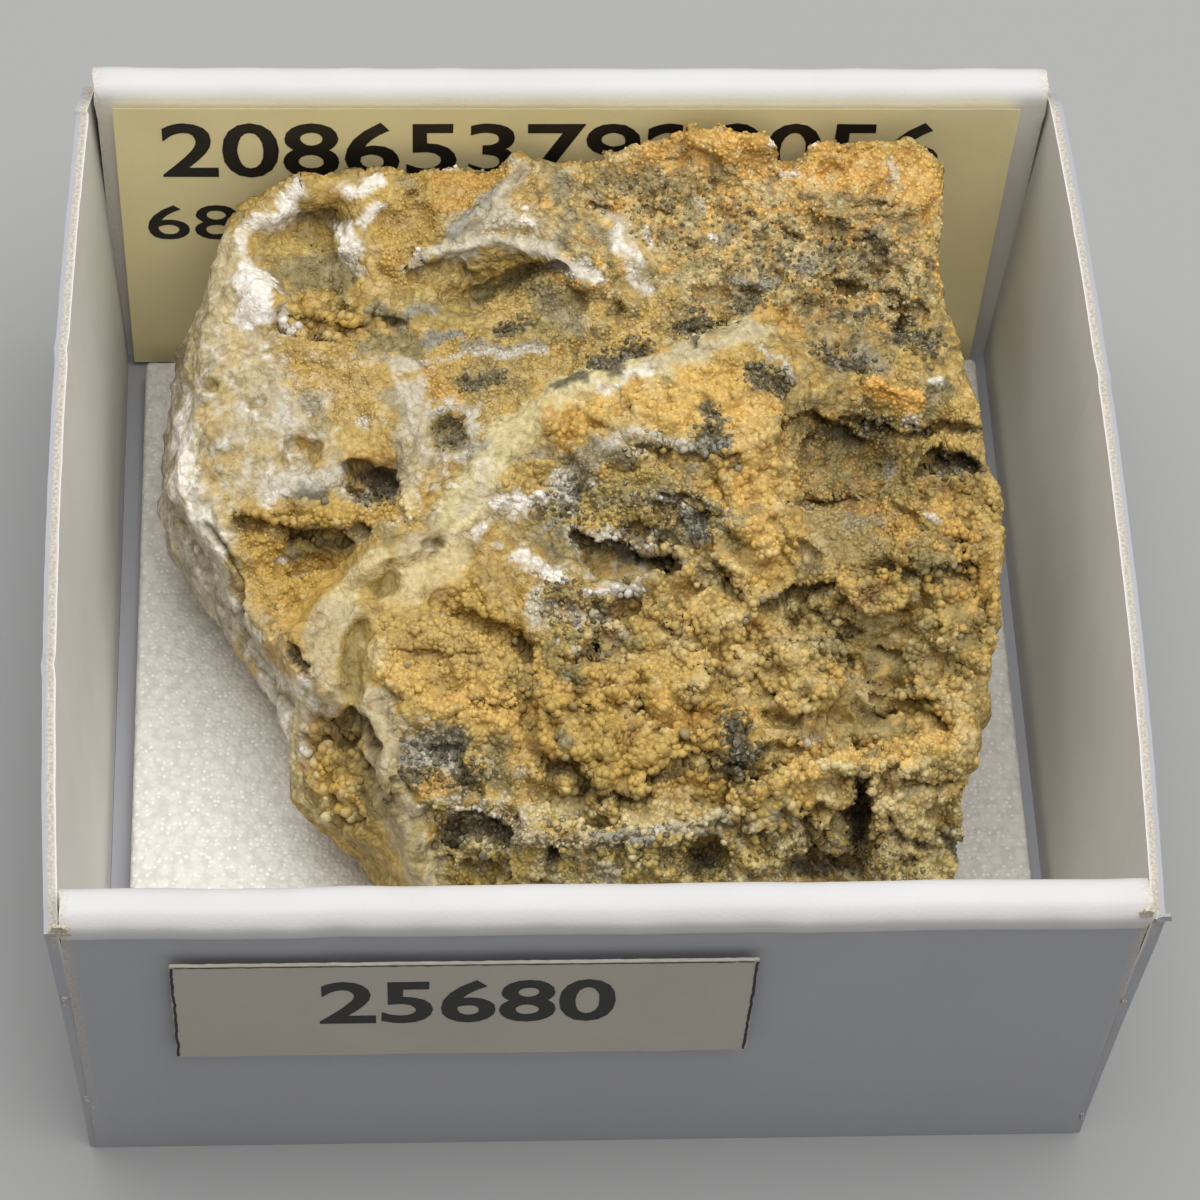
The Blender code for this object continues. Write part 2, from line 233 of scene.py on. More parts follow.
# Select, in edit mode, the edges or faces for which wanted(its corners) is true.
def pick(obj, kind, wanted):
    edit(obj, "DESELECT")
    bpy.ops.mesh.select_mode(type=kind)
    editDone()
    mesh = obj.data
    for part in mesh.edges if kind == "EDGE" else mesh.polygons:
        part.select = bool(wanted([mesh.vertices[k].co for k in part.vertices]))
    bpy.ops.object.mode_set(mode="EDIT")


# Rings of cuts across the edges that run along one axis.
def cutAcross(obj, axis, count):
    def runsAlong(ends):
        step = ends[1] - ends[0]
        return abs(step[axis]) > 0.9 * step.length

    pick(obj, "EDGE", runsAlong)
    bpy.ops.mesh.subdivide(number_cuts=count)
    editDone()


# Name a finished piece, give it its finish, and tie it to the frame.
def settle(obj, name, material, node, smooth=True):
    only(obj)
    bpy.ops.object.transform_apply(location=True, rotation=True, scale=True)
    obj.name = name
    obj.data.name = name
    obj.data.materials.clear()
    obj.data.materials.append(material)
    if smooth:
        bpy.ops.object.shade_smooth()
    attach(obj, "root")
    if node:
        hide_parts(node)
    return obj


# One list of numbers from Blender's own, such as the corners' places.
def numbers(items, name, width=1, kind=float):
    flat = np.empty(len(items) * width, kind)
    items.foreach_get(name, flat)
    return flat.reshape(-1, width) if width > 1 else flat


def coordinates(mesh):
    return numbers(mesh.vertices, "co", 3)


def normals(mesh):
    return numbers(mesh.vertex_normals, "vector", 3)


def moveTo(mesh, points):
    mesh.vertices.foreach_set("co", points.ravel())
    mesh.update()


# A number for each corner of a mesh, for its finish to read
def mark(mesh, name, values):
    mesh.attributes.new(name, "FLOAT", "POINT").data.foreach_set("value", values)


# A colour for each corner, in the same way
def tintMesh(mesh, colours):
    rgba = np.column_stack([colours, np.ones(len(colours))])
    mesh.color_attributes.new("tint", "FLOAT_COLOR", "POINT").data.foreach_set("color", rgba.ravel())


def soft(t):
    t = np.clip(t, 0.0, 1.0)
    return t * t * (3.0 - 2.0 * t)


# Fractal noise of about -1 to 1 at each place, with lumps of that size.
def field(points, size, octaves=2, shift=0.0):
    scaled = points / size + shift
    return np.array([noise.fractal(Vector(p), 1.0, 2.0, octaves) for p in scaled])


# Packed balls of that size: 1 on top of each, 0 in the joints.
def domes(points, size, shift=0.0):
    scaled = points / size + shift
    result = np.empty(len(scaled))
    for k, p in enumerate(scaled):
        near = noise.voronoi(Vector(p))[0]
        result[k] = near[1] - near[0]
    return np.sqrt(np.clip(2.0 * result, 0.0, 1.0))


# Round mounds of that size with creases between them, about -0.6 to 0.4.
def mounds(points, size, shift=0.0):
    scaled = points / size + shift
    near = np.array([noise.voronoi(Vector(p))[0][:2] for p in scaled])
    crown = 1.0 - (near[:, 0] / 0.8) ** 2
    crease = np.sqrt(np.clip(2.5 * (near[:, 1] - near[:, 0]), 0.0, 1.0))
    return 0.6 * crown + 0.4 * crease - 0.6


sideways = np.array([1, 0, 0])   # keeps a place's x alone, for noise that is the same across an edge


# Distance in pixels from each place to a line of straight stretches.
def strokeDistance(across, down, points):
    if len(points) == 1:
        return np.hypot(across - points[0][0], down - points[0][1])
    best = np.full(across.shape, 1e9)
    for (ax, ay), (bx, by) in zip(points, points[1:]):
        along = ((across - ax) * (bx - ax) + (down - ay) * (by - ay)) / ((bx - ax) ** 2 + (by - ay) ** 2)
        along = np.clip(along, 0.0, 1.0)
        best = np.minimum(best, np.hypot(across - ax - along * (bx - ax), down - ay - along * (by - ay)))
    return best


# The stone. Strokes are placed in pixels of the 1200 x 1200 photograph, laid on the solid's own surface.
stone = {
    "voxel": 0.28 * mm,
    "smoothing": 3,
    "thinning": 0.5,         # share of faces kept, all of it lost where the lens doesn't see
    "ragged": 5.0,           # pixels by which carved strokes stray from their lines
    "blur": 10.0,            # the same for colours
    "clump": 1.5 * mm,       # size of the larger mounds
    "lobe": 0.8 * mm,
    "clumpDepth": 0.6 * mm,
    "lobeDepth": 0.32 * mm,
    "hollowDepth": 0.62 * mm,
    "lumpDepth": 0.22 * mm,
    "grainDepth": 0.07 * mm,
    "facetDepth": 0.08 * mm,
    "soot": paint(176, 158, 124),   # darkens the joints and specks
}

# Slits, holes and joints: half width in pixels, depth and undercut in mm, then the line
slits = [
    (9, 0.35, 0.2, (300, 217), (325, 211), (345, 224)),
    (10, 0.65, 0.35, (476, 302), (500, 287), (530, 273), (556, 269)),
    (5, 0.3, 0.2, (412, 276), (430, 269), (455, 266), (468, 276)),
    (5, 0.4, 0.2, (290, 323), (310, 320), (330, 332), (350, 330), (372, 320)),
    (5, 0.4, 0.2, (375, 322), (405, 328)),
    (10, 0.7, 0.3, (352, 468), (365, 473), (385, 480), (397, 492)),
    (6, 0.9, 0.5, (235, 522), (262, 531), (300, 534), (330, 531), (347, 541)),
    (8, 0.22, 0.0, (296, 447), (315, 449)),
    (18, 0.3, 0.0, (449, 433)),
    (9, 1.6, 0.9, (578, 541), (600, 546), (640, 556), (675, 561)),
    (6, 0.8, 0.4, (700, 572), (722, 590), (738, 603)),
    (8, 1.1, 0.6, (762, 606), (800, 594), (832, 591)),
    (6, 0.7, 0.4, (800, 501), (830, 504), (852, 501)),
    (5, 0.6, 0.3, (895, 508), (925, 530), (958, 541), (988, 545)),
    (7, 0.9, 0.3, (930, 456), (944, 464)),
    (9, 1.1, 0.3, (958, 460), (976, 468)),
    (6, 0.9, 0.5, (872, 431), (905, 441), (940, 427), (976, 432)),
    (8, 0.8, 0.45, (792, 424), (806, 418), (830, 429), (850, 441), (864, 449)),
    (30, 0.3, 0.0, (822, 460), (866, 470)),
    (8, 0.6, 0.2, (522, 640), (524, 690), (530, 740), (545, 767)),
    (9, 1.4, 0.6, (546, 769), (570, 777), (592, 790)),
    (6, 0.9, 0.5, (600, 796), (625, 800), (648, 799)),
    (8, 1.3, 0.5, (650, 786), (668, 776), (690, 762)),
    (12, 0.2, 0.0, (440, 598), (470, 616), (500, 633), (530, 646), (545, 656)),
    (3, 0.3, 0.1, (375, 655), (410, 650), (450, 655), (482, 652)),
    (3, 0.25, 0.1, (450, 715), (480, 705), (520, 712)),
    (7, 0.6, 0.2, (838, 640), (848, 668)),
    (4, 0.5, 0.3, (870, 698), (905, 703), (940, 701)),
    (5, 0.6, 0.3, (765, 716), (785, 723), (802, 716)),
    (5, 0.7, 0.3, (765, 749), (785, 746), (802, 751)),
    (9, 1.2, 0.3, (746, 788)),
    (6, 0.8, 0.2, (703, 760), (712, 772)),
    (14, 1.2, 0.4, (455, 832), (480, 826), (505, 838)),
    (10, 1.5, 0.3, (555, 856)),
    (17, 1.4, 0.4, (700, 866), (712, 858)),
    (12, 1.2, 0.4, (795, 868), (822, 862), (850, 868)),
    (9, 2.0, 0.2, (863, 780), (863, 800), (858, 822), (863, 846)),
    (8, 1.0, 0.2, (848, 812), (836, 826)),
    (13, 0.7, 0.3, (834, 786)),
    (7, 0.8, 0.3, (845, 284), (858, 287)),
    (6, 0.8, 0.3, (903, 322), (898, 334)),
    (4, 0.5, 0.3, (815, 279), (842, 283), (872, 291), (897, 291)),
    (8, 0.8, 0.2, (786, 155), (796, 156)),
    (3, 0.5, 0.3, (690, 334), (705, 329), (737, 326)),
    (8, 0.7, 0.3, (968, 640), (976, 645)),
    (5, 0.6, 0.3, (945, 577), (960, 566), (977, 569)),
    (6, 0.35, 0.0, (200, 389), (214, 386)),
    (5, 0.35, 0.1, (222, 455), (232, 449)),
    (5, 0.3, 0.0, (250, 405), (262, 402)),
    (5, 0.6, 0.1, (427, 546), (438, 543)),
    (3, 0.5, 0.0, (410, 558)),
    (3, 0.5, 0.0, (388, 567)),
    (11, 0.5, 0.1, (378, 592), (392, 583)),
    (12, 0.6, 0.2, (358, 628), (352, 655), (350, 690)),
    (8, 1.1, 0.5, (340, 724), (352, 717), (366, 726), (376, 748)),
    (5, 0.5, 0.2, (355, 752), (370, 777), (386, 802)),
    (4, 0.5, 0.1, (205, 526), (222, 546), (233, 562), (241, 600), (245, 640)),
    (3, 0.3, 0.1, (168, 500), (198, 565), (238, 640), (288, 708)),
    (3, 0.25, 0.1, (194, 545), (226, 600), (268, 670)),
    (5, 0.4, 0.2, (620, 585), (650, 590)),
    (4, 0.4, 0.2, (775, 520), (790, 548), (812, 566)),
    (3, 0.3, 0.1, (690, 420), (700, 440)),
    (5, 0.9, 0.3, (292, 652), (303, 668)),
    (4, 0.5, 0.3, (560, 712), (610, 716), (640, 712)),
    (4, 0.5, 0.3, (690, 690), (730, 690), (770, 700)),
    (5, 0.5, 0.3, (800, 545), (815, 560)),
    (4, 0.5, 0.3, (575, 660), (610, 655), (640, 650)),
    (4, 0.5, 0.3, (880, 650), (905, 664), (915, 650)),
    (4, 0.5, 0.2, (590, 430), (620, 432), (650, 452), (680, 455), (735, 458)),
    (6, 0.8, 0.4, (872, 600), (886, 585)),
    (4, 0.5, 0.2, (845, 622), (862, 632)),
    (5, 0.6, 0.3, (815, 640), (832, 645)),
    (4, 0.5, 0.3, (928, 634), (941, 628)),
    (5, 0.5, 0.3, (958, 575), (976, 583)),
    (4, 0.4, 0.2, (610, 705), (632, 712)),
    (7, 0.9, 0.4, (712, 560), (722, 580), (738, 600)),
    (4, 0.5, 0.3, (818, 228), (845, 230)),
    (3, 0.4, 0.2, (855, 208), (890, 206)),
    (5, 0.5, 0.2, (683, 328), (700, 331)),
    (3, 0.4, 0.2, (738, 292), (765, 294)),
    (5, 0.4, 0.2, (505, 690), (530, 680)),
    (4, 0.5, 0.3, (655, 628), (690, 640), (720, 632)),
    (4, 0.5, 0.3, (735, 655), (760, 690), (775, 700)),
    (4, 0.5, 0.3, (905, 785), (940, 790), (960, 780)),
    (5, 0.6, 0.3, (800, 815), (815, 850)),
    (4, 0.5, 0.3, (885, 815), (900, 840), (935, 850)),
    (4, 0.4, 0.3, (690, 745), (715, 742)),
    (3, 0.4, 0.2, (660, 495), (700, 500), (720, 520)),
    (4, 0.4, 0.2, (600, 655), (560, 660)),
    (3, 0.4, 0.2, (770, 225), (800, 240)),
    (3, 0.4, 0.2, (860, 240), (880, 246)),
    (3, 0.3, 0.2, (640, 210), (670, 214)),
    (3, 0.3, 0.2, (590, 205), (612, 210)),
    (4, 0.4, 0.2, (890, 312), (925, 312)),
]

# Ridges and lumps: half width in pixels, height in mm, then the line
ridges = [
    (20, 0.5, (255, 222), (300, 190), (400, 182), (450, 172), (520, 162), (600, 148), (690, 134), (760, 148)),
    (16, 0.4, (800, 146), (850, 138), (905, 145), (930, 175)),
    (28, 0.45, (290, 262), (335, 266)),
    (13, 0.2, (449, 435)),
    (9, 0.35, (262, 222), (290, 205), (310, 190)),
    (8, 0.35, (345, 225), (352, 250)),
    (9, 0.3, (350, 185), (388, 185)),
    (22, 0.35, (262, 300)),
    (5, 0.25, (285, 303), (320, 304), (372, 309)),
    (7, 0.35, (412, 268), (440, 250), (500, 240), (560, 258), (590, 280)),
    (6, 0.3, (520, 168), (495, 200), (455, 235)),
    (7, 0.35, (408, 445), (405, 480), (412, 516)),
    (5, 0.2, (430, 414), (450, 407), (470, 420), (472, 442), (455, 456), (431, 450)),
    (10, 0.3, (560, 392), (640, 368), (700, 346), (760, 322)),
    (10, 0.25, (500, 498), (540, 494)),
    (7, 0.3, (520, 590), (560, 598), (600, 592), (648, 585)),
    (8, 0.4, (590, 532), (640, 545), (690, 552)),
    (12, 0.4, (290, 515), (340, 515)),
    (12, 0.35, (550, 418), (600, 422)),
    (8, 0.4, (365, 700), (385, 750), (395, 800), (430, 885)),
    (8, 0.4, (300, 640), (330, 600), (380, 560), (430, 545)),
    (7, 0.35, (500, 828), (560, 845), (620, 838), (690, 828), (740, 812), (800, 770), (870, 768)),
    (12, 0.4, (735, 725), (735, 775)),
    (16, 0.4, (800, 700), (815, 695)),
    (12, 0.4, (840, 595), (870, 600)),
    (9, 0.4, (740, 612), (775, 590)),
    (6, 0.3, (815, 140), (850, 132)),
    (11, 0.35, (905, 745), (950, 755)),
    (9, 0.35, (875, 385), (915, 398)),
    (6, 0.3, (875, 790), (880, 840)),
    (6, 0.4, (652, 590), (668, 566), (690, 563), (712, 580)),
    (5, 0.35, (725, 612), (740, 622), (755, 612), (772, 598)),
    (16, 0.4, (835, 575), (862, 590)),
    (7, 0.35, (848, 606), (872, 604)),
    (6, 0.35, (855, 617)),
    (9, 0.5, (770, 660), (800, 655), (835, 655)),
    (10, 0.5, (836, 681)),
    (13, 0.5, (798, 702), (812, 692)),
    (9, 0.45, (868, 684)),
    (18, 0.4, (930, 685), (965, 665)),
    (8, 0.5, (930, 620)),
    (7, 0.4, (945, 642)),
    (10, 0.5, (965, 560)),
    (9, 0.4, (984, 552)),
    (10, 0.4, (962, 520), (984, 505)),
    (9, 0.4, (895, 560), (920, 545)),
    (15, 0.4, (705, 668), (735, 680)),
    (8, 0.4, (655, 612)),
    (10, 0.35, (672, 632), (700, 622)),
    (9, 0.5, (738, 801)),
    (8, 0.45, (775, 796), (790, 786)),
    (15, 0.4, (835, 790)),
    (9, 0.45, (822, 825), (828, 845)),
    (10, 0.45, (905, 757), (925, 771)),
    (9, 0.4, (880, 861), (892, 850)),
    (8, 0.35, (950, 832)),
    (8, 0.35, (820, 218), (842, 222)),
    (5, 0.3, (735, 284), (772, 286)),
    (8, 0.3, (640, 152)),
    (9, 0.35, (690, 138)),
    (8, 0.3, (390, 262)),
    (8, 0.3, (432, 205)),
    (6, 0.35, (418, 332)),
    (5, 0.3, (455, 390)),
    (8, 0.35, (263, 612)),
    (8, 0.35, (282, 630)),
    (15, 0.4, (378, 657)),
    (8, 0.45, (535, 772)),
    (9, 0.5, (600, 786)),
    (9, 0.5, (646, 791)),
    (10, 0.35, (745, 230), (770, 235)),
    (12, 0.35, (880, 225), (905, 250)),
    (10, 0.35, (800, 205), (830, 200)),
    (10, 0.3, (700, 250), (730, 262)),
    (10, 0.35, (865, 325), (885, 318)),
    (8, 0.35, (620, 300), (645, 310)),
    (9, 0.35, (462, 602), (500, 622), (535, 640)),
    (12, 0.4, (895, 800), (905, 825)),
    (10, 0.4, (580, 600), (600, 625)),
    (8, 0.35, (640, 470), (665, 480)),
    (9, 0.35, (575, 455), (600, 470)),
    (10, 0.35, (470, 760), (500, 765)),
    (10, 0.35, (640, 860), (665, 868)),
    (9, 0.35, (760, 868), (775, 855)),
]

palette = {
    "ochre": paint(194, 164, 88),
    "tan": paint(190, 163, 96),
    "peach": paint(213, 177, 99),
    "paleTan": paint(212, 194, 143),
    "amber": paint(204, 162, 80),
    "orange": paint(232, 182, 92),
    "deepOchre": paint(188, 154, 74),
    "rust": paint(160, 112, 56),
    "olive": paint(138, 123, 72),
    "oliveYellow": paint(172, 152, 84),
    "oliveGrey": paint(138, 126, 86),
    "sand": paint(160, 142, 90),
    "grey": paint(138, 132, 110),
    "greyBlue": paint(144, 144, 134),
    "darkGrey": paint(88, 83, 62),
    "plum": paint(86, 72, 64),
    "beige": paint(192, 180, 147),
    "cream": paint(216, 203, 154),
    "whiteGrey": paint(202, 197, 182),
    "white": paint(244, 241, 234),
    "brownGrey": paint(146, 134, 107),
    # The darkest brown is painted shadow, for slits, caves and ledges
    "paintedShadow": paint(60, 48, 26),
}

# Broad ground colours laid over one another: colour, half width in pixels, strength, then the line
ground = [
    ("tan", 90, 0.6, (640, 620), (760, 660)),
    ("deepOchre", 60, 0.5, (560, 700), (700, 740)),
    ("amber", 45, 0.6, (640, 160), (720, 165), (790, 180)),
    ("amber", 26, 0.4, (830, 165), (920, 190)),
    ("oliveGrey", 40, 0.55, (790, 245), (880, 245)),
    ("oliveGrey", 40, 0.55, (830, 305), (900, 305)),
    ("oliveGrey", 26, 0.5, (750, 290), (690, 260)),
    ("oliveGrey", 30, 0.5, (560, 320), (590, 250)),
    ("beige", 75, 0.8, (262, 455), (235, 400)),
    ("beige", 40, 0.8, (228, 340), (225, 270)),
    ("beige", 40, 0.8, (320, 400), (400, 450)),
    ("tan", 34, 0.85, (300, 372), (372, 400)),
    ("tan", 26, 0.8, (300, 345), (350, 350)),
    ("oliveYellow", 22, 0.7, (340, 430), (375, 440)),
    ("beige", 30, 0.75, (430, 560), (470, 510), (520, 460)),
    ("cream", 20, 0.9, (455, 515), (500, 450), (560, 395)),
    ("beige", 24, 0.9, (205, 235), (180, 320), (168, 400)),
    ("whiteGrey", 60, 0.75, (150, 420), (165, 520), (225, 640), (285, 715)),
    # A darker brown-grey band down the left edge: partly the stone's colour, partly painted shade on that
    # flank.
    ("brownGrey", 9, 0.8, (205, 230), (182, 300), (166, 390)),
    ("white", 50, 0.75, (150, 420), (165, 520), (225, 640), (285, 715)),
    ("brownGrey", 10, 0.5, (160, 490), (180, 560), (215, 630), (262, 705)),
    ("deepOchre", 40, 0.9, (262, 565), (310, 585)),
    ("deepOchre", 24, 0.9, (270, 620), (290, 650)),
    ("beige", 22, 0.85, (330, 615), (320, 655), (335, 690)),
    ("cream", 12, 0.8, (340, 600), (380, 560)),
    ("paleTan", 26, 0.9, (405, 590), (440, 570)),
    ("tan", 50, 0.9, (420, 650), (480, 690)),
    ("peach", 26, 0.7, (395, 668), (500, 712)),
    ("beige", 20, 0.9, (368, 700), (384, 750), (394, 800), (425, 885)),
    ("oliveGrey", 12, 0.6, (398, 810), (412, 850)),
    ("peach", 40, 0.9, (660, 400), (740, 400)),
    ("peach", 34, 0.9, (750, 450), (745, 500)),
    ("peach", 30, 0.9, (752, 555)),
    ("peach", 20, 0.8, (580, 400), (640, 400)),
    ("olive", 34, 0.85, (830, 455), (875, 470)),
    ("olive", 20, 0.7, (900, 470), (930, 490)),
    ("amber", 26, 0.6, (950, 510), (975, 570)),
    ("sand", 34, 0.85, (880, 640), (868, 700)),
    ("olive", 22, 0.7, (890, 735), (850, 725)),
    ("sand", 26, 0.8, (790, 618), (820, 640)),
    ("peach", 24, 0.7, (840, 570), (870, 590)),
    ("olive", 20, 0.8, (600, 572), (645, 577)),
    ("oliveGrey", 26, 0.8, (620, 500), (680, 505)),
    ("oliveGrey", 22, 0.8, (560, 560), (590, 620), (565, 655)),
    ("oliveGrey", 22, 0.6, (570, 500), (540, 530)),
    ("paleTan", 40, 0.6, (900, 790), (920, 860)),
    ("oliveYellow", 26, 0.7, (470, 868), (640, 868), (800, 850)),
    ("paleTan", 18, 0.6, (560, 815), (700, 812)),
    ("deepOchre", 26, 0.9, (330, 740), (340, 790)),
    ("oliveYellow", 34, 0.75, (440, 300), (545, 305)),
    ("olive", 20, 0.5, (470, 296), (545, 300)),
    ("ochre", 60, 0.5, (620, 190), (760, 260)),
    ("sand", 50, 0.35, (800, 240), (880, 300)),
    ("orange", 34, 0.6, (640, 160), (720, 165), (790, 185)),
    ("orange", 30, 0.5, (830, 165), (915, 185)),
    ("paleTan", 60, 0.35, (600, 215), (740, 240)),
    ("paleTan", 40, 0.3, (760, 210), (880, 230)),
]
